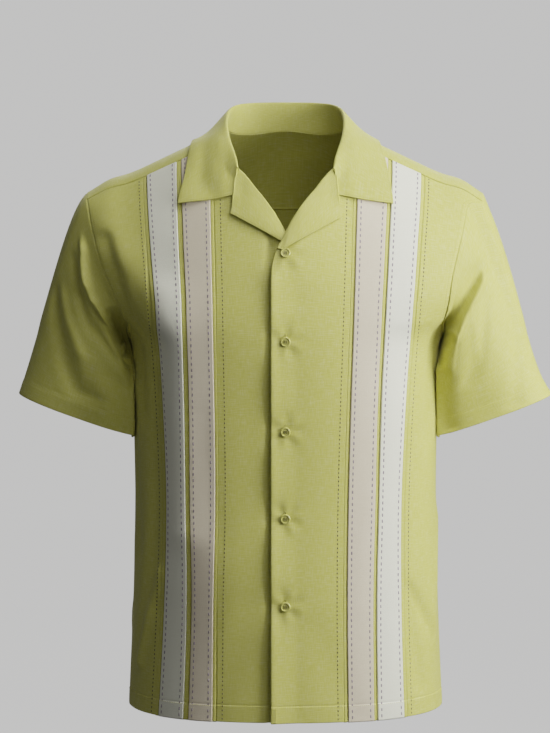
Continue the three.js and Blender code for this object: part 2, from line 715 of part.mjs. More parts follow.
function sleeveRings(side) {
  const loop = armholeLoop(side);
  const count = loop.length;
  const lengths = [0];
  for (let i = 1; i <= count; i += 1) {
    lengths.push(lengths[i - 1] + loop[i % count].point.distanceTo(loop[i - 1].point));
  }
  const underarm = YOKE_ARM_LEVELS.indexOf(RIDGE_LEVEL) + CHEST_LEVELS.length;
  const axis = new THREE.Vector3(side * Math.sin(CUFF.tilt * DEG), 0, -Math.cos(CUFF.tilt * DEG));
  const starts = loop.map((place, i) => {
    const before = loop[(i + count - 1) % count].point;
    const after = loop[(i + 1) % count].point;
    const along = after.clone().sub(before).normalize();
    const out = place.normal.clone().cross(along).multiplyScalar(side).normalize();
    const below = smooth(0, 0.5, out.z);
    const round = i <= underarm ? (0.5 * lengths[i]) / lengths[underarm]
      : 0.5 + (0.5 * (lengths[i] - lengths[underarm])) / (lengths[count] - lengths[underarm]);
    return { place, out, below, round };
  });
  const flow = side > 0 ? SLEEVE_FLOW.left : SLEEVE_FLOW.right;
  const rings = [];
  for (const t of SLEEVE_STEPS) {
    rings.push(starts.map(({ place, out, below, round }) => {
      const start = place.point.clone().addScaledVector(out, SEAM_GAP * (1.2 + 3 * below));
      const end = cuffPoint(side, round);
      const reach = start.distanceTo(end);
      const lean = new THREE.Vector3(place.normal.x + 0.3 * side, place.normal.y, -0.25).normalize();
      const leave = axis.clone().lerp(out, flow.leaveOut).normalize();
      leave.lerp(lean, below).normalize().multiplyScalar(reach * lerp(flow.leaveReach, 0.3, below));
      const tilt = lerp(15, flow.arriveTilt, 0.5 + 0.5 * Math.cos(round * 2 * Math.PI)) * DEG;
      const arrive = new THREE.Vector3(side * Math.sin(tilt), 0, -Math.cos(tilt));
      arrive.multiplyScalar(reach * lerp(flow.arriveReach, 0.8, below));
      const h00 = 2 * t ** 3 - 3 * t ** 2 + 1;
      const h10 = t ** 3 - 2 * t ** 2 + t;
      const h01 = -2 * t ** 3 + 3 * t ** 2;
      const h11 = t ** 3 - t ** 2;
      const point = start.clone().multiplyScalar(h00).addScaledVector(leave, h10);
      point.addScaledVector(end, h01).addScaledVector(arrive, h11);
      return point;
    }));
  }
  return { rings, starts };
}

function ringNormals(rings, side) {
  return rings.map((ring, row) => ring.map((point, i) => {
    const count = ring.length;
    const round = ring[(i + 1) % count].clone().sub(ring[(i + count - 1) % count]);
    const down = rings[Math.min(row + 1, rings.length - 1)][i].clone().sub(rings[Math.max(row - 1, 0)][i]);
    return down.cross(round).multiplyScalar(side).normalize();
  }));
}

// Keeps the sleeve's inner side just clear of the body's side.
function clearOfBody(point, side) {
  let low = 0;
  let high = UNDERARM_LEVEL + 1;
  for (let i = 0; i < 30; i += 1) {
    const middle = (low + high) / 2;
    if (ringAt(middle).z < point.z) {
      low = middle;
    } else {
      high = middle;
    }
  }
  const ring = ringAt(low);
  const depth = point.y < BODY_MIDDLE_Y ? ring.front : ring.back;
  const ahead = clamp(Math.abs(point.y - BODY_MIDDLE_Y) / depth, 0, 1);
  const half = ring.half * (1 - ahead ** SQUARENESS) ** (1 / SQUARENESS);
  const least = half + SLEEVE_CLEARANCE;
  if (point.z < BODY[UNDERARM_LEVEL].z + 34 && side * point.x < least) {
    point.x = side * least;
  }
}

for (const { side, word } of sides) {
  const { rings, starts } = sleeveRings(side);
  const normals = ringNormals(rings, side);
  const outer = rings.map((ring, row) => ring.map((point, i) => {
    const down = SLEEVE_STEPS[row];
    const moved = point.clone().addScaledVector(normals[row][i], sleeveFold(side, starts[i].round, down));
    if (row > 0) {
      clearOfBody(moved, side);
    }
    return moved;
  }));
  const faces = ringNormals(outer, side);
  const inner = outer.map((ring, row) => ring.map((point, i) => {
    const inward = faces[row][i].clone().multiplyScalar(-1);
    if (row === 0) {
      const panel = starts[i].place.normal.clone().multiplyScalar(-1);
      inward.lerp(panel, 1 - starts[i].below).normalize();
    }
    return point.clone().addScaledVector(inward, CLOTH);
  }));
  group.add(wall('sleeve_' + word, outer, inner, true, LIME, 0.85));
}

// ---------------------------------------------------------------- collar
// Distance of a place above the shirt's outer face, with the direction there.
function aboveShirt(point) {
  const side = point.x < 0 ? -1 : 1;
  let best = null;
  for (let level = 7; level <= 21; level += 0.1) {
    const place = plainAcross(point.x, level, side);
    const distance = place.point.distanceTo(point);
    if (best === null || distance < best.distance) {
      best = { ...place, distance };
    }
  }
  const height = point.clone().sub(best.point).dot(best.normal);
  return { height, normal: best.normal };
}

function plainAcross(x, overLevel, side) {
  const over = overLevel > RIDGE_LEVEL;
  const level = over ? 2 * RIDGE_LEVEL - overLevel : overLevel;
  const turn = over ? side * Math.PI - turnAcross(x, level) : turnAcross(x, level);
  return { point: plainPoint(turn, level), normal: plainNormal(turn, level) };
}

function collarLift(x) {
  return lerp(COLLAR_LIFT_LOW, COLLAR_LIFT_HIGH, smooth(62, 78, Math.abs(x)));
}

// Line of the collar across one station: neck seam, stand, rolled top, fall and outer edge.
function collarLine(station, side) {
  const names = ['foldX', 'foldY', 'foldZ', 'edgeX', 'edgeY'];
  const row = tableRow(COLLAR, station, names);
  const neck = neckPlan(station);
  const front = 1 - smooth(0, 1.4, station);
  const base = shirtAcross(side * neck.x, neck.level);
  const fold = new THREE.Vector3(side * row.foldX, row.foldY, row.foldZ);
  const edgeLevel = levelAtDepth(row.edgeX, row.edgeY);
  const edge = shirtAcross(side * row.edgeX, edgeLevel);
  const edgePoint = raised(edge, COLLAR_LIFT_HIGH + DOUBLE_CLOTH / 2);
  const outward = edgePoint.clone().sub(fold);
  outward.z = 0;
  outward.normalize();
  const seat = base.point.clone();
  return { seat, base, top: fold, outward, edge, edgePoint, front };
}

const fallPoint = (line, t) => {
  const reach = line.top.distanceTo(line.edgePoint);
  const leave = line.outward.clone().multiplyScalar(0.55);
  leave.z = -0.5 - 0.5 * line.front;
  leave.normalize().multiplyScalar(reach);
  const arrive = line.edgePoint.clone().sub(line.top);
  arrive.addScaledVector(line.edge.normal, -arrive.dot(line.edge.normal)).normalize().multiplyScalar(reach);
  const h00 = 2 * t ** 3 - 3 * t ** 2 + 1;
  const h10 = t ** 3 - 2 * t ** 2 + t;
  const h01 = -2 * t ** 3 + 3 * t ** 2;
  const h11 = t ** 3 - t ** 2;
  const point = line.top.clone().multiplyScalar(h00).addScaledVector(leave, h10);
  return point.addScaledVector(line.edgePoint, h01).addScaledVector(arrive, h11);
};

// Front end of the collar: down the gorge to the notch, then out to the tip.
function collarEndPoint(side, t) {
  if (t <= NOTCH_SHARE) {
    const share = t / NOTCH_SHARE;
    const x = lerp(COLLAR[0].neckX + 0.6, NOTCH.x, share);
    return { x: side * x, level: lerp(10.2, NOTCH.level, share) };
  }
  const share = (t - NOTCH_SHARE) / (1 - NOTCH_SHARE);
  return { x: side * lerp(NOTCH.x, COLLAR_TIP.x, share), level: lerp(NOTCH.level, COLLAR_TIP.level, share ** 1.6) };
}

function collarColumn(station, side) {
  const line = collarLine(station, side);
  const points = [];
  const radius = COLLAR_FOLD_RADIUS;
  const half = DOUBLE_CLOTH / 2;
  const inwards = line.outward.clone().multiplyScalar(-1);
  const foot = line.seat.clone().addScaledVector(line.base.normal, half + 0.8).addScaledVector(inwards, -0.6);
  const rise = line.top.clone().sub(foot);
  points.push(foot);
  const standTop = line.top.clone().addScaledVector(inwards, radius * 0.5);
  standTop.z -= Math.min(radius * 1.6, 0.45 * rise.length());
  points.push(foot.clone().lerp(standTop, 0.5), standTop, line.top.clone());
  for (let step = 1; step <= COLLAR_FALL_STEPS; step += 1) {
    const t = step / COLLAR_FALL_STEPS;
    const point = fallPoint(line, 0.06 + 0.94 * t);
    if (station === 0) {
      const end = collarEndPoint(side, t);
      point.copy(raised(shirtAcross(end.x, end.level), collarLift(end.x) + half));
    }
    const above = aboveShirt(point);
    const least = collarLift(point.x) + half;
    if (above.height < least) {
      point.addScaledVector(above.normal, least - above.height);
    }
    points.push(point);
  }
  return points;
}

function collarStations() {
  const half = COLLAR_STATIONS / 2;
  const list = [];
  for (let i = 0; i <= half; i += 1) {
    list.push({ station: (COLLAR.length - 1) * (i / half), side: 1 });
  }
  for (let i = half - 1; i >= 0; i -= 1) {
    list.push({ station: (COLLAR.length - 1) * (i / half), side: -1 });
  }
  return list;
}

// Thickens a grid of middle points evenly to both sides.
function thicken(grid, thickness) {
  const rows = grid.length;
  const columns = grid[0].length;
  const normals = grid.map((row, r) => row.map((point, c) => {
    const along = grid[Math.min(r + 1, rows - 1)][c].clone().sub(grid[Math.max(r - 1, 0)][c]);
    const across = row[Math.min(c + 1, columns - 1)].clone().sub(row[Math.max(c - 1, 0)]);
    return along.cross(across).normalize();
  }));
  const moved = (sign) => grid.map((row, r) => row.map((point, c) => {
    return point.clone().addScaledVector(normals[r][c], (sign * thickness) / 2);
  }));
  return { outer: moved(1), inner: moved(-1) };
}

const collarGrid = collarStations().map(({ station, side }) => collarColumn(station, side));
const collarFaces = thicken(collarGrid, DOUBLE_CLOTH);
group.add(wall('collar', collarFaces.outer, collarFaces.inner, false, LIME_LIGHT, 0.85));

// ---------------------------------------------------------------- lapels
function lapelPlaces(side) {
  const rows = [];
  const bottom = LAPEL_EDGE[LAPEL_EDGE.length - 1];
  for (let i = 0; i <= LAPEL_ROWS; i += 1) {
    const t = i / LAPEL_ROWS;
    const rollLevel = lerp(10.07, bottom.level + 0.04, t);
    const rollX = frontEdgeX(rollLevel) + 0.4;
    const edge = tableRow(LAPEL_EDGE, t * (LAPEL_EDGE.length - 1), ['x', 'level']);
    const row = [];
    for (let step = 0; step <= LAPEL_STEPS; step += 1) {
      const s = step / LAPEL_STEPS;
      let x = lerp(rollX, edge.x, s);
      let level = lerp(rollLevel, edge.level, s);
      if (i === 0) {
        const notchShare = 0.5;
        const upper = s <= notchShare;
        const share = upper ? s / notchShare : (s - notchShare) / (1 - notchShare);
        const notchLevel = NOTCH.level - 0.04;
        x = upper ? lerp(rollX, NOTCH.x - 0.8, share) : lerp(NOTCH.x - 0.8, edge.x, share);
        level = upper ? lerp(rollLevel, notchLevel, share) : lerp(notchLevel, edge.level, share);
      }
      const place = shirtAcross(side * x, level);
      place.lift = overlapLift(side, x, level);
      row.push(place);
    }
    rows.push(row);
  }
  return rows;
}

for (const { side, word } of sides) {
  group.add(shirtWall('lapel_' + word, lapelPlaces(side), LAPEL_LIFT, LAPEL_LIFT + DOUBLE_CLOTH, LIME_LIGHT));
}

// ---------------------------------------------------------------- buttons
function toSolid(geometry) {
  const position = geometry.getAttribute('position');
  const keys = new Map();
  const vertices = [];
  const faces = [];
  for (const i of geometry.index.array) {
    const values = [position.getX(i), position.getY(i), position.getZ(i)];
    const key = values.map((value) => Math.round(value * 10000)).join(',');
    if (!keys.has(key)) {
      keys.set(key, vertices.length / 3);
      vertices.push(...values);
    }
    faces.push(keys.get(key));
  }
  const clean = [];
  for (let i = 0; i < faces.length; i += 3) {
    const [a, b, c] = [faces[i], faces[i + 1], faces[i + 2]];
    if (a !== b && b !== c && a !== c) {
      clean.push(a, b, c);
    }
  }
  const mesh = new wasm.Mesh({
    numProp: 3,
    vertProperties: new Float32Array(vertices),
    triVerts: new Uint32Array(clean),
  });
  return new wasm.Manifold(mesh);
}

function buttonGeometry() {
  const radius = BUTTON_RADIUS;
  const height = BUTTON_HEIGHT;
  const profile = [
    [0, 0], [radius * 0.78, 0], [radius * 0.95, 0.5], [radius, 1.3], [radius * 0.97, height - 0.5],
    [radius * 0.86, height], [radius * 0.72, height - 0.15], [radius * 0.62, height - 0.9], [0, height - 1.05],
  ].map(([x, y]) => new THREE.Vector2(x, y));
  let solid = toSolid(new THREE.LatheGeometry(profile, 28));
  for (const [x, z] of [[1, 1], [1, -1], [-1, 1], [-1, -1]]) {
    const drill = new THREE.CylinderGeometry(BUTTON_HOLE_RADIUS, BUTTON_HOLE_RADIUS, height * 3, 10);
    drill.translate(x * BUTTON_HOLE_SPACING, height / 2, z * BUTTON_HOLE_SPACING);
    solid = solid.subtract(toSolid(drill));
  }
  const result = solid.getMesh();
  const geometry = new THREE.BufferGeometry();
  geometry.setAttribute('position', new THREE.Float32BufferAttribute(Array.from(result.vertProperties), 3));
  geometry.setIndex(Array.from(result.triVerts));
  geometry.computeVertexNormals();
  return geometry;
}

function frontAtHeight(x, z) {
  let low = 0;
  let high = 9;
  for (let i = 0; i < 40; i += 1) {
    const middle = (low + high) / 2;
    if (shirtAcross(x, middle).point.z < z) {
      low = middle;
    } else {
      high = middle;
    }
  }
  return { ...shirtAcross(x, low), level: low };
}

const button = buttonGeometry();
BUTTON_HEIGHTS.forEach((z, i) => {
  const place = frontAtHeight(BUTTON_X, z);
  const seat = raised(place, overlapLift(1, 0, place.level) + 2 * SEAM_GAP);
  const material = new THREE.MeshStandardMaterial({ color: BUTTON_GREEN, roughness: 0.4, metalness: 0 });
  material.name = 'button_plastic_' + (i + 1);
  const mesh = new THREE.Mesh(button.clone(), material);
  mesh.name = 'button_' + (i + 1);
  mesh.quaternion.setFromUnitVectors(new THREE.Vector3(0, 1, 0), place.normal);
  mesh.position.copy(seat);
  group.add(mesh);
});

export default group;
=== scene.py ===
import math

import bmesh
import bpy
import numpy as np
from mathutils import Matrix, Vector


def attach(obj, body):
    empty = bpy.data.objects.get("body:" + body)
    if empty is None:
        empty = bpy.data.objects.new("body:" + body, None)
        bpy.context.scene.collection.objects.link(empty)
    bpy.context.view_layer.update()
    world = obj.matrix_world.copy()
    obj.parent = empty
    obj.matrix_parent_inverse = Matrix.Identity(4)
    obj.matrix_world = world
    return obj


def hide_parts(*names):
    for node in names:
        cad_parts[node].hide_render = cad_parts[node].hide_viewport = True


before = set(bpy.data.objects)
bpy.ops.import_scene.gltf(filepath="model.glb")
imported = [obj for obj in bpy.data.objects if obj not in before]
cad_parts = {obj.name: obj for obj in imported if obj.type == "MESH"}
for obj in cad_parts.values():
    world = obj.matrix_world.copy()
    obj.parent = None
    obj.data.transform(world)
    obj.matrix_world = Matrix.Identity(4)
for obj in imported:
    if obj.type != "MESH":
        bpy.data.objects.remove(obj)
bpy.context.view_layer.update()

bl_info = {
    "name": "Bowling Shirt",
    "version": (1, 0, 0),
    "blender": (4, 5, 0),
    "location": "View3D > Sidebar > Shirt",
    "description": "Dresses the packed frame of a worn bowling shirt in cloth, stitching and buttons",
    "category": "Add Mesh",
}

# The shirt's form is worked out in millimetres, +Z up, +X to the wearer's left, the front facing -Y.
MM = 0.001
DEG = math.pi / 180

# ------------------------------------------------------------------ sizes of the form
SQUARENESS = 2.3
BODY_MIDDLE_Y = 2
SHOULDER_ROUNDING = 30
SHOULDER_HALF = 240
SHOULDER_CAP = {"rise": 0.05, "x": 214, "reach": 20}
GIRTH_RADIUS = 165
FRONT_SEAM_LEVEL = 12.3
RIDGE_LEVEL = 15
UNDERARM_LEVEL = 4
HEM_LINE = 18
LEFT_ARMHOLE_IN = 15
BACK_YOKE_Z = -95
FRONT_OVERLAP = 16.5
OVERLAP_EASE = 60
CLOTH_GAP = 1.6
LAPEL_LAYERS = 2.8
LAPEL_COVER = {"from": (5.4, 6.6), "to": (8.1, 9.1)}
LAPEL_LIFT = 0.5
BAND_MIDDLE_X = 120.0
DOUBLE_CLOTH = 1.8
TUCK_WIDTH = 5
BUTTON_HEIGHTS = (-141, -243, -349.5, -453.5, -558.5)
BUTTON_X = -0.6
BUTTON_SEAT = 0.6
BUTTON_HEIGHT = 2.8
BUTTON_HOLLOW = 1.05
BUTTON_HOLE_SPACING = 1.25
BUTTON_THREAD_RADIUS = 0.55
BUTTONHOLE = {"half_width": 1.1, "half_length": 7.0, "above": 2.0}
CUFF = {"x": 254.0, "y": 5, "z": -342.3, "width": 153, "depth": 98, "tilt": 20}
STEADY_SHARE = 0.85
STEADY_LEVELS = (10, 11.5)
STEADY_WIDTHS = (0.86, 0.96)
STEADY_ROUNDS = 2
SLEEVE_CLEARANCE = 1.3
SLEEVE_EASE = 2.2
SLEEVE_HUG = 15
SLEEVE_GIRTH = 400
SLEEVE_LENGTH = 260
SLEEVE_FLOW = {
    "left": {"leave_out": 0.12, "leave_reach": 1.1, "arrive_tilt": 40, "arrive_reach": 0.5},
    "right": {"leave_out": 0.9, "leave_reach": 0.36, "arrive_tilt": 19, "arrive_reach": 1.1},
}
SIDES = {"left": 1, "right": -1}


# ------------------------------------------------------------------ small tools
def lerp(a, b, t):
    return a + (b - a) * t


def smooth(low, high, value):
    t = np.clip((value - low) / (high - low), 0, 1)
    return t * t * (3 - 2 * t)


def bell(distance, reach):
    return np.exp(-((distance / reach) ** 2))


def spline(before, start, end, after, t):
    """Smooth curve through four neighbouring values."""
    square = 2 * before - 5 * start + 4 * end - after
    cube = 3 * start - before - 3 * end + after
    return 0.5 * (2 * start + (end - before) * t + square * t**2 + cube * t**3)


def unit(vectors):
    return vectors / np.maximum(np.linalg.norm(vectors, axis=-1, keepdims=True), 1e-9)


def signed_power(value, exponent):
    return np.sign(value) * np.abs(value) ** exponent


class Table:
    """A short table with named columns, read between its rows along a smooth curve."""

    def __init__(self, names, *rows):
        self.columns = dict(zip(names.split(), np.array(rows, float).T))
        self.last = len(rows) - 1

    def __getitem__(self, name):
        return self.columns[name]

    def rows(self):
        """Each row as a dict."""
        return [dict(zip(self.columns, values)) for values in zip(*self.columns.values())]

    def between(self, place, name):
        """Value of a column at a place counted in rows; ends are carried on straight."""
        value = self.columns[name]
        longer = np.concatenate([[2 * value[0] - value[1]], value, [2 * value[-1] - value[-2]]])
        index = np.clip(np.floor(place).astype(int), 0, self.last - 1)
        return spline(*(longer[index + k] for k in range(4)), place - index)

    def look_up(self, key, wanted, name):
        """Value of a column where the key column, which rises down the table, has the wanted value."""
        steps = self.columns[key]
        index = np.clip(np.searchsorted(steps, wanted, side="right") - 1, 0, self.last - 1)
        t = np.clip((wanted - steps[index]) / (steps[index + 1] - steps[index]), 0, 1)
        return self.between(index + t, name)


# ------------------------------------------------------------------ tables of the form
# Rings of the body from the hem up over the chest to the shoulder ridge. z: height at the centre
# line. fall: drop by the shoulder tip, before and behind. half: half width. front, back: depth.
# arm_front, arm_back: where the side seam or the armhole ends the ring.
BODY = Table(
    "z fall_front fall_back half front back arm_front arm_back",
    (-697, 0, 0, 191, 134, 128, 191, 191),
    (-600, 0, 0, 187, 132, 124, 187, 187),
    (-450, 0, 0, 184.5, 131, 118, 184.5, 184.5),
    (-330, 0, 0, 185.5, 137, 121, 185.5, 185.5),
    (-252, 0, 0, 188, 140, 124, 188, 188),
    (-215, 8, 6, 210, 138, 124, 194.1, 196.6),
    (-180, 18, 12, 230, 132, 123, 205.5, 210.2),
    (-140, 33, 18, 241, 122, 120, 215.3, 220),
    (-100, 50, 26, 249, 108, 113, 222.2, 226.6),
    (-64, 68, 46, 256, 92, 101, 227.1, 231),
    (-33, 83, 68, 264.5, 76, 84, 230.5, 233.8),
    (-5, 94, 84, 277, 59, 64, 233.8, 235.6),
    (12, 99.5, 94, 300, 44, 46, 236.7, 237.3),
    (22, 102, 100, 325, 29.5, 30, 238.4, 238.7),
    (26.8, 103, 102.5, 337, 15, 15, 239.6, 239.7),
    (28.3, 103, 103, 340, 0, 0, 240, 240),
)
# Edges of the bands on each front: distance from the centre line at heights on the front.
BAND_LINES = {
    "left": Table(
        "z beige_in beige_out white_in white_out",
        (-697, 74.5, 105.5, 109.8, 142),
        (-556, 73, 104.1, 108.3, 138.1),
        (-436, 73.9, 106.2, 110.4, 137.8),
        (-316, 76.6, 108.7, 112.9, 142.6),
        (-196, 80.5, 113.6, 118.4, 150.7),
        (-126, 83.1, 117.6, 122.4, 156),
        (-60, 86, 121.5, 126.5, 161),
        (0, 88, 124, 129, 164),
    ),
    "right": Table(
        "z beige_in beige_out white_in white_out",
        (-697, 87.5, 116, 122.5, 152.3),
        (-556, 86.1, 111.9, 118, 144.9),
        (-436, 83.5, 113.4, 118.9, 141.6),
        (-316, 84.3, 114.1, 120.1, 145.7),
        (-196, 86.4, 117.2, 123.1, 153.7),
        (-126, 88.5, 121.2, 127.2, 160.3),
        (-60, 90.5, 124, 130, 165),
        (0, 92, 126, 132, 168),
    ),
}
# Free edge of a front, from below the first button up the turned-back fold to the gorge.
ROLL_LINE = Table(
    "level x",
    (6.1, -16.5),
    (6.6, -15.6),
    (7.0, -11.5),
    (7.35, -4),
    (7.7, 2.8),
    (8.1, 11.5),
    (8.6, 23),
    (9.1, 35),
    (9.6, 45),
    (10.17, 56.5),
)
ROLL_LOW, ROLL_TOP = ROLL_LINE["level"][[0, -1]]
# Half of the collar, from the gorge (row 0) to the centre back. neck: neck seam in plan.
# fold: top of the roll. edge: outer edge in plan, lying on the shirt.
COLLAR = Table(
    "neck_x neck_y fold_x fold_y fold_z edge_x edge_y",
    (56.5, -74.5, 57.5, -77.0, -40.5, 126.3, -79.0),
    (63.5, -62.0, 61.0, -66.5, -28.5, 125.3, -69.0),
    (69.5, -48.0, 65.5, -52.0, -15.0, 121.4, -56.0),
    (73.0, -34.0, 69.5, -37.0, -3.5, 117.8, -42.0),
    (75.4, -17.0, 71.5, -19.0, 8.5, 112.6, -22.0),
    (76.0, 2.0, 71.5, 1.0, 19.5, 110.0, 2.0),
    (73.0, 22.0, 68.5, 22.0, 28.0, 105, 27.0),
    (63.0, 41.0, 59.5, 42.0, 33.0, 93.0, 49.0),
    (45.0, 53.0, 43.0, 55.0, 35.0, 68.0, 65.0),
    (24.0, 58.5, 23.0, 60.5, 35.8, 36.0, 73.5),
    (0.0, 60.0, 0.0, 62.0, 36.0, 0.0, 76.0),
)
NOTCH = {"x": 60.3, "level": 9.11}
NOTCH_SHARE = 1 / 3
COLLAR_TIP = {"x": 126.3, "level": 9.43}
COLLAR_HALF_STATIONS = 11
COLLAR_FALL_STEPS = 6
COLLAR_FOLD_RADIUS = 2.6
# Turned-back front: lower edge from the tip toward the first button.
LAPEL_EDGE = Table("x level", (64.3, 8.42), (44, 7.99), (20.5, 7.57), (1.8, 7.28), (-4.5, 7.2))

# Folds and creases of the body, each between two places given by turn round the body in degrees
# (0 at the centre front, positive to the wearer's left) and height. depth is positive for a ridge.
# bow: how far the middle of the fold swings aside. lean: how much wider one flank is.
BODY_FOLDS = Table(
    "turn1 z1 turn2 z2 width depth bow lean",
    (-74, -175, -66, -330, 16, -4, 0, 1),
    (-37, -190, -37, -470, 24, 6, 0, 0.85),
    (-38, -240, -38, -490, 75, 8, 0, 0.53),
    (-57, -82, -58, -138, 34, 7, 0, 1),
    (-54, -300, -55, -560, 15, -3, 0, 1),
    (-51, -525, -68, -638, 9, 5, 0, 1),
    (72, -190, 64, -360, 17, -3.5, 0, 1),
    (51, -545, 70, -605, 9, -3, 0, 1.6),
    (50, -570, 57, -660, 12, -2.4, 0, 1.5),
    (84, -470, 70, -600, 18, 3, 0, 1),
    (-122, -260, -134, -560, 22, -5, 0, 1),
    (124, -250, 138, -590, 24, -5.5, 0, 1),
    (156, -330, 150, -640, 22, 4, 0, 1),
    (-158, -360, -152, -650, 24, 4, 0, 1),
    (104, -300, 102, -560, 18, 3, 0, 1),
    (-104, -330, -100, -600, 18, 3.5, 0, 1),
)
BODY_CREASES = Table(
    "turn1 z1 turn2 z2 width depth bow lean",
    (-55, -128, -53, -170, 9, -3.4, 1, 1.6),
    (-53.5, -186, -60, -232, 8, -4.2, 0, 1.8),
    (-49, -156, -47, -210, 26, 4, 0, 0.4),
    (60, -150, 70, -215, 12, -1.2, 2, 1.4),
    (-78, -330, -70, -500, 11, -1.5, 4, 1.2),
    (-60, -430, -74, -610, 12, 1.4, -3, 1.5),
    (76, -290, 66, -420, 12, -1.2, 3, 1.2),
    (62, -500, 76, -630, 11, 1.1, 3, 1.4),
    (8, -585, 22, -690, 16, -0.9, 2, 1.3),
    (-10, -560, -24, -690, 15, -0.9, -2, 1.2),
    (30, -430, 24, -560, 14, 0.6, 3, 1),
    (-28, -330, -22, -470, 14, -0.6, 2, 1),
    (-140, -120, -128, -250, 15, -1.9, 5, 1.4),
    (141, -125, 130, -240, 14, -1.8, -5, 1.3),
    (-170, -300, -166, -520, 16, -1.6, 5, 1.3),
    (171, -260, 168, -470, 15, 1.5, -5, 1.2),
    (180, -420, 176, -650, 18, -1.7, 6, 1.2),
    (-112, -190, -120, -330, 12, 1.4, 3, 1.4),
    (112, -200, 118, -350, 13, -1.4, -4, 1.4),
    (-92, -300, -88, -470, 13, -1.7, 3, 1.2),
    (92, -360, 88, -520, 14, -1.5, -4, 1.3),
    (96, -560, 84, -690, 14, 1.5, 3, 1.2),
    (-96, -590, -84, -690, 13, 1.3, -3, 1.2),
    (-150, -560, -146, -690, 16, -1.5, 2, 1.2),
    (146, -540, 150, -690, 16, 1.4, 2, 1.2),
)
# Folds of the sleeves: share round from the shoulder tip over the front to the underarm and the
# back, and share down from the armhole to the cuff.
SLEEVE_FOLDS = {
    "right": Table(
        "round1 down1 round2 down2 width depth bow lean",
        (0.158, 0.19, 0.21, 0.29, 9, 6.5, 0, 1),
        (0.21, 0.32, 0.27, 0.85, 30, 5.5, 0, 1),
        (0.247, 0.325, 0.33, 0.385, 8, 6.5, 0, 1),
        (0.35, 0.42, 0.4, 0.57, 8, 6.5, 0, 1),
        (0.15, 0.33, 0.19, 0.4, 10, -4.5, 0, 1),
        (0.21, 0.435, 0.3, 0.57, 10, -5, 0, 1),
        (0.14, 0.52, 0.225, 0.65, 10, 3.5, 0, 1),
        (0.24, 0.69, 0.27, 0.8, 11, 3, 0, 1),
        (0.1, 0.56, 0.24, 0.85, 11, -4.5, 2, 1),
        (0.32, 0.72, 0.335, 0.98, 13, -4, 0, 1),
        (0.62, 0.3, 0.8, 0.75, 22, -5, 0, 1),
        (0.9, 0.2, 0.88, 0.8, 20, 3, 0, 1),
        (0.68, 0.15, 0.72, 0.6, 12, -2.2, 4, 1.3),
    ),
    "left": Table(
        "round1 down1 round2 down2 width depth bow lean",
        (0.17, 0.24, 0.36, 0.23, 9, 3.5, 0, 1),
        (0.36, 0.55, 0.345, 0.95, 14, -4, 0, 1),
        (0.18, 0.32, 0.27, 0.62, 9, -1.8, 2, 1.2),
        (0.11, 0.62, 0.19, 0.93, 10, -1.7, 2, 1.2),
        (0.6, 0.25, 0.76, 0.8, 22, -5, 0, 1),
        (0.88, 0.25, 0.9, 0.85, 20, 3, 0, 1),
        (0.7, 0.2, 0.7, 0.6, 12, 1.9, -4, 1.3),
    ),
}

# Where the front of a sleeve falls back beside the body: a path given by distance from the
# middle and height. depth is the share of the way back to HOLLOW_Y.
HOLLOW_Y = -6
HOLLOW_LEAN = 2.4
SLEEVE_HOLLOWS = {
    "right": Table(
        "x z width depth",
        (208, -208, 8, 0),
        (205, -228, 8, 0.5),
        (200, -247, 7, 0.9),
        (194, -264, 5.5, 0.9),
        (187, -286, 4, 0.5),
        (184, -312, 5, 0.12),
        (183, -340, 5, 0),
    ),
    "left": Table(
        "x z width depth",
        (240, -152, 6, 0),
        (229, -174, 6, 0.2),
        (214, -200, 6, 0.22),
        (203, -218, 6.5, 0.3),
        (193, -238, 6, 0.5),
        (186, -260, 5, 0.75),
        (184, -286, 4, 0),
    ),
}


# ------------------------------------------------------------------ the body's form
def _longer(name):
    """A column of the rings, carried on below the hem and mirrored over the ridge."""
    value = BODY[name]
    turn = -1 if name in ("front", "back") else 1
    return np.concatenate([[2 * value[0] - value[1]], value, turn * value[-2:-4:-1]])


RINGS = {name: _longer(name) for name in BODY.columns}


def ring(level, *names):
    """The named columns of the body's rings at a level."""
    level = np.asarray(level, float)
    index = np.clip(np.floor(level).astype(int), 0, BODY.last)
    values = [spline(*(RINGS[name][index + k] for k in range(4)), level - index) for name in names]
    return values if len(names) > 1 else values[0]


def shoulder_share(x):
    rounding = SHOULDER_ROUNDING
    top = np.hypot(x, rounding) - rounding
    cap = SHOULDER_CAP["rise"] * bell(np.abs(x) - SHOULDER_CAP["x"], SHOULDER_CAP["reach"])
    return top / (math.hypot(SHOULDER_HALF, rounding) - rounding) - cap


def plain_point(turn, level):
    """A place on the shirt's outer face before its folds."""
    names = ("half", "front", "back", "z", "fall_front", "fall_back")
    half, front, back, z, fall_front, fall_back = ring(level, *names)
    ahead = np.cos(turn)
    x = half * signed_power(np.sin(turn), 2 / SQUARENESS)
    depth = np.where(ahead >= 0, front, back)
    y = BODY_MIDDLE_Y - depth * signed_power(ahead, 2 / SQUARENESS)
    fall = lerp(fall_front, fall_back, 0.5 - 0.5 * ahead)
    return np.stack([x, y, z - fall * shoulder_share(x)], -1)


def plain_normal(turn, level):
    step = 0.004
    around = plain_point(turn + step, level) - plain_point(turn - step, level)
    up = plain_point(turn, level + step) - plain_point(turn, level - step)
    return unit(np.cross(around, up))


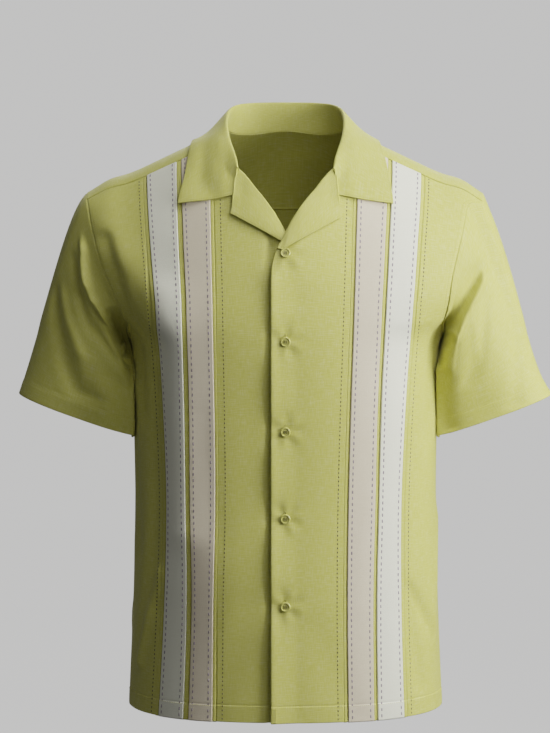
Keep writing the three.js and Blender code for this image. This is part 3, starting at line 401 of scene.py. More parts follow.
def folds(table, a, b, names, scale_a, scale_b):
    """Summed height of a table of folds at places a, b."""
    height = np.zeros(np.broadcast(a, b).shape)
    for row in table.rows():
        a1, b1, a2, b2 = (row[n] * s for n, s in zip(names, (scale_a, scale_b) * 2))
        length = math.hypot(a2 - a1, b2 - b1)
        da, db = (a2 - a1) / length, (b2 - b1) / length
        along = (a - a1) * da + (b - b1) * db
        share = np.clip(along / length, 0, 1)
        aside = (a - a1) * db - (b - b1) * da - row["bow"] * 4 * share * (1 - share)
        past = along - share * length
        width = np.where(aside > 0, row["width"] * row["lean"], row["width"])
        height += row["depth"] * np.exp(-((aside / width) ** 2) - (past / row["width"]) ** 2)
    return height


def ripple(a, b, seed, reach, height):
    """Soft unevenness of hanging cloth: a few long waves that cross."""
    waves = np.random.default_rng(seed)
    total = np.zeros(np.broadcast(a, b).shape)
    for _ in range(9):
        heading, size, phase = waves.random(3)
        size = reach * (0.6 + 1.2 * size)
        heading = (heading - 0.5) * math.pi
        run = a * math.cos(heading) + 0.6 * b * math.sin(heading)
        total = total + np.sin(run / size + 6.3 * phase)
    return height * total / 3


def body_fold(turn, z):
    """Height of the folds, creases and soft unevenness over the plain face."""
    around = np.arctan2(np.sin(turn), np.cos(turn))
    names = ("turn1", "z1", "turn2", "z2")
    height = np.zeros(np.broadcast(turn, z).shape)
    for full_turn in (-2 * math.pi, 0, 2 * math.pi):
        place = (around + full_turn) * GIRTH_RADIUS
        if full_turn == 0:
            height += folds(BODY_FOLDS, place, z, names, DEG * GIRTH_RADIUS, 1)
        height += folds(BODY_CREASES, place, z, names, DEG * GIRTH_RADIUS, 1)
    closed = GIRTH_RADIUS * np.sin(around), GIRTH_RADIUS * np.cos(around)
    below_shoulders = smooth(-60, -160, z)
    height += below_shoulders * ripple(closed[0] + 0.7 * closed[1], z, 3, 24, 0.5)
    return height


def shirt_at(turn, level):
    """Points of the shirt's outer face and the outward directions there."""
    point = plain_point(turn, level)
    normal = plain_normal(turn, level)
    return point + normal * body_fold(turn, point[..., 2])[..., None], normal


def turn_across(x, level):
    """Turn round the body at a distance from the centre line."""
    share = np.minimum(1, np.abs(x) / ring(level, "half"))
    return np.sign(x) * np.arcsin(share ** (SQUARENESS / 2))


def over_ridge(x, over_level):
    """Turn and level of a place by its distance off the centre line and its level over the ridge."""
    over = over_level > RIDGE_LEVEL
    level = np.where(over, 2 * RIDGE_LEVEL - over_level, over_level)
    turn = turn_across(x, level)
    side = np.where(x < 0, -1, 1)
    return np.where(over, side * math.pi - turn, turn), level


def shirt_across(x, over_level):
    """The outer face at a distance from the centre line, which the folds of the front hardly change."""
    share = np.abs(x) / ring(np.minimum(over_level, RIDGE_LEVEL), "half")
    steady = STEADY_SHARE * (1 - smooth(*STEADY_LEVELS, over_level)) * (1 - smooth(*STEADY_WIDTHS, share))
    aim = x
    for _ in range(STEADY_ROUNDS):
        place = shirt_at(*over_ridge(aim, over_level))[0]
        aim = aim + steady * (x - place[..., 0])
    return shirt_at(*over_ridge(aim, over_level))


def arm_turn(level, name, side=-1):
    """Turn round the body where its ring meets the armhole, or the side seam below it."""
    half, arm = ring(level, "half", name)
    if name == "arm_front" and side > 0:
        above_underarm = smooth(UNDERARM_LEVEL + 0.2, 7.2, level)
        below_seam = 1 - smooth(10.6, FRONT_SEAM_LEVEL, level)
        arm = arm - LEFT_ARMHOLE_IN * above_underarm * below_seam
    share = np.where(level <= UNDERARM_LEVEL, 1, np.minimum(1, arm / half))
    return np.arcsin(share ** (SQUARENESS / 2))


def halve(low, high, below, steps=40):
    """The place between low and high up to which below(place) holds."""
    for _ in range(steps):
        middle = (low + high) / 2
        under = below(middle)
        low, high = np.where(under, middle, low), np.where(under, high, middle)
    return low


def level_at_depth(x, y):
    """Level over the shoulder where the outer face lies at the depth y."""
    start = np.broadcast_to(8.0, np.shape(x))
    return halve(start, start + 13, lambda level: shirt_at(*over_ridge(x, level))[0][..., 1] < y)


def neck_plan(station):
    """Place of the neck seam at a station of the collar."""
    x = COLLAR.between(station, "neck_x")
    return x, level_at_depth(x, COLLAR.between(station, "neck_y"))


NECK_STATIONS = np.linspace(0, 5, 60)
NECK_X, NECK_LEVELS = neck_plan(NECK_STATIONS)
SEAM_STATION = float(np.interp(FRONT_SEAM_LEVEL, NECK_LEVELS, NECK_STATIONS))


def front_edge_x(level):
    """Distance of a front's free edge from the centre line, then of its neck seam."""
    rolled = ROLL_LINE.look_up("level", np.clip(level, ROLL_LOW, ROLL_TOP), "x")
    return np.where(level <= ROLL_TOP, rolled, np.interp(level, NECK_LEVELS, NECK_X))


def band_lines(word, level):
    """Edges of the bands at a level of the front."""
    z, fall = ring(level, "z", "fall_front")
    height = z - fall * shoulder_share(BAND_MIDDLE_X)
    names = ("beige_in", "beige_out", "white_in", "white_out")
    return {name: BAND_LINES[word].look_up("z", height, name) for name in names}


def overlap_lift(side, x, level):
    """How far the wearer's left front stands off to clear the layers below."""
    if side < 0:
        return np.zeros(np.broadcast(x, level).shape)
    covered = smooth(*LAPEL_COVER["from"], level) * (1 - smooth(*LAPEL_COVER["to"], level))
    return (CLOTH_GAP + LAPEL_LAYERS * covered) * (1 - np.clip((x - FRONT_OVERLAP) / OVERLAP_EASE, 0, 1))


# ------------------------------------------------------------------ grids of cloth
FINE_EDGE = (0, 0.35, 0.8, 1.4, 2.2, 3.4)


def stops(length, step, fine_start=True, fine_end=True):
    """Shares along a length, about a step apart and close together near seams."""
    start = [x for x in FINE_EDGE if x < length / 2.5] if fine_start else [0]
    end = [length - x for x in FINE_EDGE if x < length / 2.5][::-1] if fine_end else [length]
    count = max(1, round((end[0] - start[-1]) / step))
    middle = np.linspace(start[-1], end[0], count + 1)[1:-1]
    return np.array([*start, *middle, *end]) / length


def raised(place, height):
    """Points at a height above a face, given as its points and directions."""
    return place[0] + place[1] * np.asarray(height)[..., None]


def seam_dip(distance, depth=0.7, reach=1.0):
    """Cloth sinks into a seam."""
    return -depth * bell(distance, reach)


def turned_under(point, normal, off, radius, back):
    """Rows that carry cloth round an edge and back beneath itself. off points away from the cloth."""
    angles = np.linspace(0, math.pi, 7)[1:]
    around = [point + off * radius * math.sin(a) - normal * radius * (1 - math.cos(a)) for a in angles]
    under = [around[-1] - off * back * share for share in (0.15, 0.4, 0.7, 1)]
    return np.stack(around + under)


def along(points, axis):
    """Running length of a grid along an axis, in millimetres."""
    steps = np.linalg.norm(np.diff(points, axis=axis), axis=-1)
    total = np.cumsum(steps, axis=axis)
    return np.concatenate([np.zeros_like(np.take(total, [0], axis)), total], axis)


def hem_relief(above):
    """The step where the turned-up hem ends and its stitched line."""
    step = 0.4 * smooth(HEM_LINE + 1.2, HEM_LINE - 0.4, above)
    return step - 0.35 * bell(above - HEM_LINE - 1.6, 0.9)


def body_levels(low, high, step, x=100.0):
    """Levels evenly spaced along the front at a distance from the centre line."""
    fine = np.linspace(low, high, 500)
    length = along(plain_point(turn_across(x, fine), fine), 0)
    wanted = stops(length[-1], step) * length[-1]
    if low == 0:
        hem = HEM_LINE + np.array([-2.2, -0.8, 0, 0.8, 1.6, 2.4, 3.6])
        wanted = np.concatenate([wanted[(wanted < hem[0] - 0.8) | (wanted > hem[-1] + 0.8)], hem])
    return np.interp(np.sort(wanted), length, fine)


LENGTH_LEVELS = np.linspace(0, 15, 600)
LENGTH_ALONG = along(plain_point(turn_across(100.0, LENGTH_LEVELS), LENGTH_LEVELS), 0)


def height_along(level):
    """Length of cloth from the hem up to a level."""
    over = np.maximum(level - RIDGE_LEVEL, 0)
    level = np.minimum(level, RIDGE_LEVEL)
    return np.interp(level, LENGTH_LEVELS, LENGTH_ALONG) + 15 * over


# ------------------------------------------------------------------ making pieces
def clear_selection():
    bpy.ops.object.select_all(action="DESELECT")


def make_active(piece):
    clear_selection()
    piece.select_set(True)
    bpy.context.view_layer.objects.active = piece


def mesh_piece(name, points, faces, uv=None):
    """A mesh object from points in millimetres, with a UV map in metres of cloth."""
    mesh = bpy.data.meshes.new(name)
    mesh.from_pydata((points * MM).tolist(), [], faces.tolist())
    if uv is not None:
        layer = mesh.uv_layers.new(name="Cloth")
        layer.data.foreach_set("uv", (uv[faces.reshape(-1)] * MM).reshape(-1).astype(np.float32))
    piece = bpy.data.objects.new(name, mesh)
    bpy.context.collection.objects.link(piece)
    return piece


def grid_piece(name, points, normals, uv, closed=False):
    """One layer of cloth over a grid of points, facing along the normals."""
    rows, columns = points.shape[:2]
    number = np.arange(rows * columns).reshape(rows, columns)
    corners = (number[:-1, :-1], number[:-1, 1:], number[1:, 1:], number[1:, :-1])
    faces = np.stack(corners, -1).reshape(-1, 4)
    across = points[:, 1:] - points[:, :-1]
    down = points[1:] - points[:-1]
    facing = (np.cross(across[:-1], down[:, :-1]) * normals[:-1, :-1]).sum()
    if facing < 0:
        faces = faces[:, ::-1]
    piece = mesh_piece(name, points.reshape(-1, 3), faces, uv.reshape(-1, 2))
    if closed:
        work = bmesh.new()
        work.from_mesh(piece.data)
        bmesh.ops.remove_doubles(work, verts=work.verts, dist=1e-6)
        work.to_mesh(piece.data)
        work.free()
    return piece


def thicken(piece, thickness, offset=-1.0):
    """Gives a layer of cloth its thickness."""
    make_active(piece)
    wall = piece.modifiers.new("Wall", "SOLIDIFY")
    wall.thickness = thickness
    wall.offset = offset
    wall.use_even_offset = False
    bpy.ops.object.modifier_apply(modifier=wall.name)


def smooth_faces(piece, angle=50):
    make_active(piece)
    bpy.ops.object.shade_smooth_by_angle(angle=angle * DEG)


def settle(piece, material, slot, *nodes):
    """Finish, body and the frame's nodes that a piece stands for."""
    piece.data.materials.clear()
    piece.data.materials.append(material)
    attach(piece, "root")
    if nodes:
        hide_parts(*nodes)
    return piece


# ------------------------------------------------------------------ finishes
class Wire:
    """An output of a material's node; arithmetic on it adds Math nodes."""

    def __init__(self, finish, socket):
        self.finish = finish
        self.socket = socket

    def _math(self, operation, *values):
        return self.finish.node("ShaderNodeMath", {"operation": operation}, dict(enumerate(values)))

    def __add__(self, other):
        return self._math("ADD", self, other)

    def __radd__(self, other):
        return self._math("ADD", other, self)

    def __sub__(self, other):
        return self._math("SUBTRACT", self, other)

    def __rsub__(self, other):
        return self._math("SUBTRACT", other, self)

    def __mul__(self, other):
        return self._math("MULTIPLY", self, other)

    def __rmul__(self, other):
        return self._math("MULTIPLY", other, self)

    def __pow__(self, other):
        return self._math("POWER", self, other)

    def sine(self):
        return self._math("SINE", self)

    def between(self, low, high):
        """0 at low, 1 at high, and limited to that range."""
        inputs = {"Value": self, "From Min": low, "From Max": high}
        return self.finish.node("ShaderNodeMapRange", {"clamp": True}, inputs)


class Finish:
    """Builds one material out of nodes."""

    def __init__(self, name):
        self.material = bpy.data.materials.new(name)
        self.material.use_nodes = True
        self.tree = self.material.node_tree
        self.tree.nodes.clear()

    def node(self, kind, settings=None, inputs=None, output=0):
        """Adds a node: its settings first, then the values or links of its sockets."""
        node = self.tree.nodes.new(kind)
        for name, value in (settings or {}).items():
            if name == "stops":
                self._set_stops(node.color_ramp, value)
            else:
                setattr(node, name, value)
        for name, value in (inputs or {}).items():
            if isinstance(value, Wire):
                self.tree.links.new(value.socket, node.inputs[name])
            else:
                node.inputs[name].default_value = value
        return Wire(self, node.outputs[output]) if node.outputs else None

    @staticmethod
    def _set_stops(ramp, stops_list):
        while len(ramp.elements) > 1:
            ramp.elements.remove(ramp.elements[-1])
        for i, (position, colour) in enumerate(stops_list):
            element = ramp.elements[0] if i == 0 else ramp.elements.new(position)
            element.position = position
            element.color = colour

    def mix(self, share, a, b):
        """Colour a, with a share of colour b."""
        return self.node("ShaderNodeMix", {"data_type": "RGBA"}, {0: share, 6: a, 7: b}, 2)

    def noise(self, vector, scale, detail=2.0, roughness=0.5):
        inputs = {"Vector": vector, "Scale": scale, "Detail": detail, "Roughness": roughness}
        return self.node("ShaderNodeTexNoise", None, inputs)

    def cloth_place(self):
        """The piece's UV map, in metres of cloth, as its two parts."""
        place = self.node("ShaderNodeUVMap", {"uv_map": "Cloth"})
        parts = self.tree.nodes.new("ShaderNodeSeparateXYZ")
        self.tree.links.new(place.socket, parts.inputs[0])
        return Wire(self, parts.outputs[0]), Wire(self, parts.outputs[1])

    def joined(self, x, y, z=0.0):
        """A place from its three parts."""
        return self.node("ShaderNodeCombineXYZ", None, {0: x, 1: y, 2: z})

    def object_place(self):
        return self.node("ShaderNodeTexCoord", None, None, 3)

    def surface(self, bump=None, strength=0.3, distance=0.0005, **sockets):
        """Ends the material in one Principled shader."""
        inputs = {name.replace("_", " "): value for name, value in sockets.items()}
        if bump is not None:
            relief = {"Strength": strength, "Distance": distance, "Height": bump}
            inputs["Normal"] = self.node("ShaderNodeBump", None, relief)
        shader = self.node("ShaderNodeBsdfPrincipled", None, inputs)
        self.node("ShaderNodeOutputMaterial", None, {"Surface": shader})
        return self.material


def linear(colour):
    """A screen colour, 0 to 255, as a linear one."""
    share = np.array(colour, float) / 255
    value = np.where(share <= 0.04045, share / 12.92, ((share + 0.055) / 1.055) ** 2.4)
    return (*value.tolist(), 1.0)


# Metres from thread to thread, and how often the slubs come along a thread and across the threads.
THREAD_PITCH = 0.0009
SLUB_LONG = 85.0
SLUB_THIN = 1000.0


def woven(name, colour, deep, pale, slub, roughness=0.62, sheen=0.35, sheen_tint=(1, 1, 1, 1)):
    """Slubbed plain weave: threads across and along, some thicker and paler than others."""
    finish = Finish(name)
    u, v = finish.cloth_place()
    weft = finish.noise(finish.joined(u * SLUB_LONG, v * SLUB_THIN), 1.0, 2.0, 0.55)
    warp = finish.noise(finish.joined(u * SLUB_THIN, v * SLUB_LONG, 7.0), 1.0, 2.0, 0.55)
    broad = finish.noise(finish.joined(u * 9, v * 6, 3.0), 1.0, 2.0, 0.5)
    cross = (u * (2 * math.pi / THREAD_PITCH)).sine() * (v * (2 * math.pi / THREAD_PITCH)).sine()
    pale_threads = weft.between(0.5, 0.72) * 0.6 + warp.between(0.5, 0.74) * 0.5
    deep_threads = weft.between(0.48, 0.3) * 0.5 + warp.between(0.48, 0.3) * 0.5
    tone = finish.mix(pale_threads * slub, colour, pale)
    tone = finish.mix(deep_threads * slub, tone, deep)
    tone = finish.mix(broad.between(0.35, 0.7) * 0.12, tone, deep)
    height = cross * 0.35 + weft * 0.9 + warp * 0.8
    rough = weft * 0.08 + (roughness - 0.04)
    return finish.surface(
        bump=height, strength=0.3, distance=0.0003, Base_Color=tone, Roughness=rough,
        Sheen_Weight=sheen, Sheen_Roughness=0.45, Sheen_Tint=sheen_tint, Specular_IOR_Level=0.35,
    )


def plastic(name, colour, deep):
    """Smooth cast plastic, a little cloudy."""
    finish = Finish(name)
    place = finish.object_place()
    cloud = finish.noise(place, 260.0, 3.0)
    grain = finish.noise(place, 1800.0, 2.0)
    tone = finish.mix(cloud.between(0.35, 0.7) * 0.45, colour, deep)
    rough = cloud * 0.12 + 0.24
    return finish.surface(
        bump=grain, strength=0.08, distance=0.0002,
        Base_Color=tone, Roughness=rough, Coat_Weight=0.12, Coat_Roughness=0.25, Specular_IOR_Level=0.4,
    )


def twisted_thread(name, colour, deep):
    """Sewing thread with its twist."""
    finish = Finish(name)
    place = finish.object_place()
    fibre = finish.noise(place, 2600.0, 2.0)
    shade = finish.noise(place, 60.0, 1.0)
    tone = finish.mix(fibre.between(0.35, 0.7) * 0.6, colour, deep)
    tone = finish.mix(shade.between(0.4, 0.7) * 0.3, tone, deep)
    return finish.surface(
        bump=fibre, strength=0.4, distance=0.0001,
        Base_Color=tone, Roughness=fibre * 0.2 + 0.5, Sheen_Weight=0.2, Specular_IOR_Level=0.3,
    )


def matt(name, colour, brightness, glow):
    """Even studio paper: a little of its own light keeps it pale to its edges."""
    finish = Finish(name)
    soft = finish.noise(finish.object_place(), 0.7, 2.0)
    tone = finish.mix(soft.between(0.3, 0.7) * 0.04, colour, (1, 1, 1, 1))
    return finish.surface(
        Base_Color=tone, Roughness=0.95, Specular_IOR_Level=0.0,
        Emission_Color=(*glow, 1.0), Emission_Strength=brightness,
    )


# ------------------------------------------------------------------ fronts
def grid_normals(points, guide=None):
    """Directions across a grid's faces, turned to the side of the guide directions."""
    across = np.gradient(points, axis=1)
    down = np.gradient(points, axis=0)
    normals = unit(np.cross(across, down))
    if guide is not None and (normals * guide).sum() < 0:
        normals = -normals
    return normals


def facing_like(points, like, rows=0, columns=0):
    """Directions across a grid's faces, on the side of those given past its turned rows and columns."""
    facing = grid_normals(points)
    if (facing[rows:, columns:] * like).sum() < 0:
        facing = -facing
    return facing


def edge_stand_off(side, x, z):
    """Free front edge: it bows out between its buttons and lies close at them."""
    from_edge = x + FRONT_OVERLAP
    held = sum(bell(z - height, 24) for height in BUTTON_HEIGHTS)
    if side > 0:
        loose = 3.6 + 1.4 * smooth(-450, -690, z)
        top = 1 - smooth(-175, -150, z)
        bow = loose * (1 - np.clip(held, 0, 1)) * (1 - smooth(0, 34, from_edge))
        return top * (bow + 1.4 * bell(from_edge, 7))
    return -1.5 * (1 - smooth(20, 48, from_edge)) - 2.4 * bell(from_edge - 35, 4.5) + 0 * z


def button_pucker(x, z):
    """Short creases that the buttons draw in the cloth round them."""
    height = np.zeros(np.broadcast(x, z).shape)
    for place in BUTTON_HEIGHTS:
        reach = np.hypot(x - BUTTON_X, z - place)
        angle = np.arctan2(z - place, x - BUTTON_X)
        rays = np.cos(5 * angle + place)
        height += 0.6 * rays * bell(reach - 14, 8) - 0.5 * bell(reach, 11)
    return height


def add_hem(points, normals, radius, back):
    """Rows below the first one that turn a hem under."""
    off = unit(points[0] - points[1])
    rows = turned_under(points[0], normals[0], off, radius, back)
    return np.concatenate([rows[::-1], points])


def add_edge(points, normals, radius, back):
    """Columns before the first one that turn an edge under."""
    off = unit(points[:, 0] - points[:, 1])
    columns = turned_under(points[:, 0], normals[:, 0], off, radius, back)
    return np.concatenate([columns[::-1].transpose(1, 0, 2), points], 1)


HEM_RADIUS = 1.1
HEM_BACK = 17.0
EDGE_BACK = 5.0
TURNED = 10
TURN_LENGTH = 3
TURN_START = 0.4
FREE_PART_WIDTH = 90
SIDE_PART_WIDTH = 70
HIDDEN_COLUMNS = 18
BAND_GROOVE = 1.5


def turned_places(back):
    """Cloth places of the rows that turned_under adds, from the farthest."""
    return -np.linspace(back + TURN_LENGTH, TURN_START, TURNED)


def hem_places(u, v, back):
    """Cloth places of a panel with those of its hem before them."""
    hem_v = turned_places(back)[:, None] + 0 * u[:1]
    return np.concatenate([u[:1].repeat(TURNED, 0), u]), np.concatenate([hem_v, v])


def front_grid(word, step):
    """Points, directions and cloth places of a front panel, its hem and free edge turned under."""
    side = SIDES[word]
    level = body_levels(0, FRONT_SEAM_LEVEL, step)[:, None]
    lines = band_lines(word, level)
    edge = front_edge_x(level)
    inner = lines["beige_in"] - TUCK_WIDTH
    outer = lines["white_out"] + TUCK_WIDTH
    free = turn_across(lerp(edge, inner, stops(FREE_PART_WIDTH, step)), level)
    hidden = turn_across(lerp(inner, outer, np.linspace(0, 1, HIDDEN_COLUMNS)[1:]), level)
    start = turn_across(outer, level)
    end = arm_turn(level, "arm_front", side)
    turn = np.concatenate([free, hidden, lerp(start, end, stops(SIDE_PART_WIDTH, step)[1:])], 1)
    place = shirt_at(side * turn, level)
    x = side * plain_point(side * turn, level)[..., 0]
    z = place[0][..., 2]
    lift = overlap_lift(side, x, level) + edge_stand_off(side, x, z)
    past_inner = smooth(inner - 0.2, inner + 0.5, x)
    lift = lift - BAND_GROOVE * past_inner * (1 - smooth(outer - 0.5, outer + 0.2, x))
    if side > 0:
        lift = lift + button_pucker(x, z)
    from_side = along(place[0], 1)
    from_side = from_side[:, -1:] - from_side
    from_top = height_along(FRONT_SEAM_LEVEL) - height_along(level)
    lift = lift + seam_dip(from_side) + seam_dip(from_top, 1.0) + hem_relief(height_along(level))
    points = raised(place, lift)
    normals = place[1]
    u = edge + along(points, 1)
    v = height_along(level) + 0 * u
    points = add_hem(points, normals, HEM_RADIUS, HEM_BACK)
    normals = grid_normals(points, np.concatenate([normals[:1].repeat(TURNED, 0) * 0, normals]))
    points = add_edge(points, normals, HEM_RADIUS, EDGE_BACK)
    u, v = hem_places(u, v, HEM_BACK)
    u = np.concatenate([u[:, :1] + turned_places(EDGE_BACK)[None], u], 1)
    v = np.concatenate([v[:, :1].repeat(TURNED, 1), v], 1)
    return points, facing_like(points, place[1], TURNED, TURNED), np.stack([u, v], -1)


# ------------------------------------------------------------------ bands and tucks
STRIPS = {
    "inner_tuck": ("beige_in", -TUCK_WIDTH, "beige_in", 0),
    "beige_band": ("beige_in", 0, "beige_out", 0),
    "middle_tuck": ("beige_out", 0, "white_in", 0),
    "white_band": ("white_in", 0, "white_out", 0),
    "outer_tuck": ("white_out", 0, "white_out", TUCK_WIDTH),
}
STRIP_TOP = 1.25
STRIP_ROUND = 0.7
TUCK_TOP = 0.1
TUCK_GROOVE = 1.15
STRIP_FOOT = -1.3
STRIP_GAP = 0.12
STRIP_HEM_BACK = 6.0


def strip_height(from_low, from_high, tuck):
    """Height across a strip: flat with rounded edges, or the full ridge of a tuck."""
    top = TUCK_TOP if tuck else STRIP_TOP
    reach = 0.8 if tuck else STRIP_ROUND
    near = np.clip(np.minimum(from_low, from_high) / reach, 0, 1)
    return top - reach * 0.8 * (1 - np.sqrt(1 - (1 - near) ** 2))


def strip_grid(word, kind, step):
    """Points of one strip of a front. The groove beside each tuck lies on its +X side."""
    side = SIDES[word]
    tuck = kind.endswith("tuck")
    level = body_levels(0, FRONT_SEAM_LEVEL, step)
    level[0], level[-1] = 0.001, FRONT_SEAM_LEVEL - 0.02
    level = level[:, None]
    lines = band_lines(word, level)
    low_name, low_shift, high_name, high_shift = STRIPS[kind]
    low = lines[low_name] + low_shift + STRIP_GAP
    high = lines[high_name] + high_shift - STRIP_GAP
    if tuck and side > 0:
        high = high - TUCK_GROOVE
    elif tuck:
        low = low + TUCK_GROOVE
    width = float((high - low).mean())
    shares = stops(width, 1.0 if tuck else 2.4)
    x = lerp(low, high, shares)
    place = shirt_across(side * x, level)
    from_low = shares * width
    lift = overlap_lift(side, x, level) + strip_height(from_low, width - from_low, tuck)
    from_top = height_along(FRONT_SEAM_LEVEL) - height_along(level)
    lift = lift - 1.4 * bell(from_top, 1.2) + hem_relief(height_along(level))
    skirt = overlap_lift(side, x, level) + STRIP_FOOT
    points = raised(place, lift)
    ends = raised(place, skirt + 0 * lift)
    u = along(points, 1)
    v = height_along(level) + 0 * u
    points = np.concatenate([ends[:, :1], points, ends[:, -1:]], 1)
    normals = np.concatenate([place[1][:, :1], place[1], place[1][:, -1:]], 1)
    u = np.concatenate([u[:, :1] - 1, u, u[:, -1:] + 1], 1)
    v = np.concatenate([v[:, :1], v, v[:, -1:]], 1)
    points = add_hem(points, normals, HEM_RADIUS + 0.7, STRIP_HEM_BACK)
    u, v = hem_places(u, v, STRIP_HEM_BACK)
    return points, facing_like(points, normals, TURNED), np.stack([u, v], -1)


# ------------------------------------------------------------------ back and yoke
BACK_WIDTH = 400
BACK_ABOVE_UNDERARM = 160
BACK_TUCK = {"up": 1.1, "in": 0.9}


def back_turn(column, level):
    """Turn round the body of a column of the back, from 1 at the wearer's left side to -1."""
    return np.where(column < 0, -1, 1) * math.pi - column * arm_turn(level, "arm_back")


def back_seam_level(column):
    """Level of the seam between back and yoke."""
    start = np.full(np.shape(column), 6.0)

    def below(level):
        return shirt_at(back_turn(column, level), level)[0][..., 2] < BACK_YOKE_Z

    return halve(start, start + 7, below)


def back_grid(step):
    """Points of the back, its hem turned under."""
    columns = (1 - 2 * stops(BACK_WIDTH, step))[None, :]
    columns = np.where(np.abs(columns) < 1e-6, 1e-6, columns)
    top = back_seam_level(columns)
    low_levels = body_levels(0, UNDERARM_LEVEL, step)[:-1, None]
    shares = stops(BACK_ABOVE_UNDERARM, step, fine_start=False)[:, None]
    level = np.concatenate([low_levels + 0 * columns, lerp(UNDERARM_LEVEL, top, shares)])
    turn = back_turn(columns, level)
    place = shirt_at(turn, level)
    across = along(place[0], 1)
    up = along(place[0], 0)
    lift = seam_dip(across) + seam_dip(across[:, -1:] - across) + seam_dip(up[-1:] - up, 1.0)
    points = raised(place, lift + hem_relief(up))
    points[-1] += unit(points[-1] - points[-3]) * BACK_TUCK["up"] - place[1][-1] * BACK_TUCK["in"]
    middle = across.shape[1] // 2
    u = across - across[:, middle:middle + 1]
    v = up[:, middle:middle + 1] + 0 * u
    points = add_hem(points, place[1], HEM_RADIUS, HEM_BACK)
    u, v = hem_places(u, v, HEM_BACK)
    return points, facing_like(points, place[1], TURNED), np.stack([u, v], -1)


YOKE_ARM_LEVELS = np.array([FRONT_SEAM_LEVEL, 13.5, RIDGE_LEVEL, 16.4, 17.7])
BACK_COLUMNS = np.array([1, 0.86, 0.7, 0.54, 0.38, 0.22, 0.08])
YOKE_SPREAD = 1.15
YOKE_ARM_LENGTH = 70
YOKE_SEAM_LENGTH = 220
YOKE_DEPTH = 170
YOKE_LIFT = 0.6


def armhole_x(over_level):
    """Distance of the armhole from the centre line at a level carried over the ridge."""
    over = over_level > RIDGE_LEVEL
    level = np.where(over, 2 * RIDGE_LEVEL - over_level, over_level)
    return np.where(over, ring(level, "arm_back"), ring(level, "arm_front"))


def yoke_border(step):
    """Half of the yoke's outer border: x, level over the ridge, and place along the border."""
    arm_shares = stops(YOKE_ARM_LENGTH, step, fine_end=False)
    arm_levels = lerp(YOKE_ARM_LEVELS[0], YOKE_ARM_LEVELS[-1], arm_shares)
    arm_x = armhole_x(arm_levels)
    arm_place = np.interp(arm_levels, YOKE_ARM_LEVELS, np.arange(5))
    column = lerp(1, 0, stops(YOKE_SEAM_LENGTH, step, fine_end=False))
    column[-1] = 1e-6
    seam_level = back_seam_level(column)
    seam_x = plain_point(back_turn(column, seam_level), seam_level)[..., 0]
    centre = len(BACK_COLUMNS) + 4.5
    places = 5 + np.arange(len(BACK_COLUMNS))
    seam_place = np.interp(-column, [*-BACK_COLUMNS, 0], [*places, centre])
    seam_over = 2 * RIDGE_LEVEL - seam_level
    corner = lerp(np.array([arm_x[-1], arm_levels[-1], 4]), [seam_x[0], seam_over[0], 5], 0.5)
    x = np.concatenate([arm_x, [corner[0]], seam_x])
    level = np.concatenate([arm_levels, [corner[1]], seam_over])
    place = np.concatenate([arm_place, [corner[2]], seam_place])
    return x, level, place / centre


def yoke_grid(step):
    """Points of the yoke, from the neck seam out to the armholes and the back seam."""
    x, level, share = yoke_border(step)
    station = lerp(SEAM_STATION, COLLAR.last, share**YOKE_SPREAD)
    neck_x, neck_level = neck_plan(station)
    t = stops(YOKE_DEPTH, step, fine_start=False)
    place_x = lerp(neck_x[:, None], x[:, None], t)
    place_level = lerp(neck_level[:, None], level[:, None], t)
    left = shirt_across(place_x, place_level)
    right = shirt_across(-place_x, place_level)
    points = np.concatenate([left[0], right[0][-2::-1]])
    normals = np.concatenate([left[1], right[1][-2::-1]])
    flat_x = np.concatenate([place_x, -place_x[-2::-1]])
    run = np.concatenate([height_along(place_level), height_along(place_level)[-2::-1]])
    out = along(points, 1)
    down = along(points, 0)
    lift = YOKE_LIFT - 0.4 * bell(out[:, -1:] - out, 0.7) + seam_dip(down) + seam_dip(down[-1:] - down)
    return raised((points, normals), lift), normals, np.stack([flat_x, run], -1)


# ------------------------------------------------------------------ sleeves
def armhole_curve(side, count):
    """Places round the armhole, over the front, under the arm and up the back, with their share round."""
    front = np.linspace(RIDGE_LEVEL, UNDERARM_LEVEL, 500)
    back = front[::-1][1:]
    level = np.concatenate([front, back])
    turn = np.concatenate([arm_turn(front, "arm_front", side), math.pi - arm_turn(back, "arm_back")])
    length = along(shirt_at(side * turn, level)[0], 0)
    under = length[len(front) - 1]
    up_the_back = 0.5 + 0.5 * (length - under) / (length[-1] - under)
    round_share = np.where(length <= under, 0.5 * length / under, up_the_back)
    even = np.linspace(0, length[-1], count + 1)
    turn, level, share = (np.interp(even, length, value) for value in (turn, level, round_share))
    return side * turn, level, share


def cuff_point(side, share):
    """Places round the open end of a sleeve, a rounded and tilted rectangle."""
    angle = share * 2 * math.pi
    tilt = CUFF["tilt"] * DEG
    outward = np.array([side * math.cos(tilt), 0, math.sin(tilt)])
    squarer = np.where(np.cos(angle) < 0, 0.6, 0.9)
    reach = CUFF["width"] / 2 * signed_power(np.cos(angle), squarer)
    y = CUFF["y"] - CUFF["depth"] / 2 * signed_power(np.sin(angle), squarer)
    point = np.stack([0 * y + side * CUFF["x"], y, 0 * y + CUFF["z"]], -1)
    return point + outward * reach[..., None]


def hermite(start, leave, end, arrive, t):
    """A curve from start to end that leaves and arrives along the given directions."""
    h00, h10 = 2 * t**3 - 3 * t**2 + 1, t**3 - 2 * t**2 + t
    h01, h11 = 3 * t**2 - 2 * t**3, t**3 - t**2
    return start * h00 + leave * h10 + end * h01 + arrive * h11


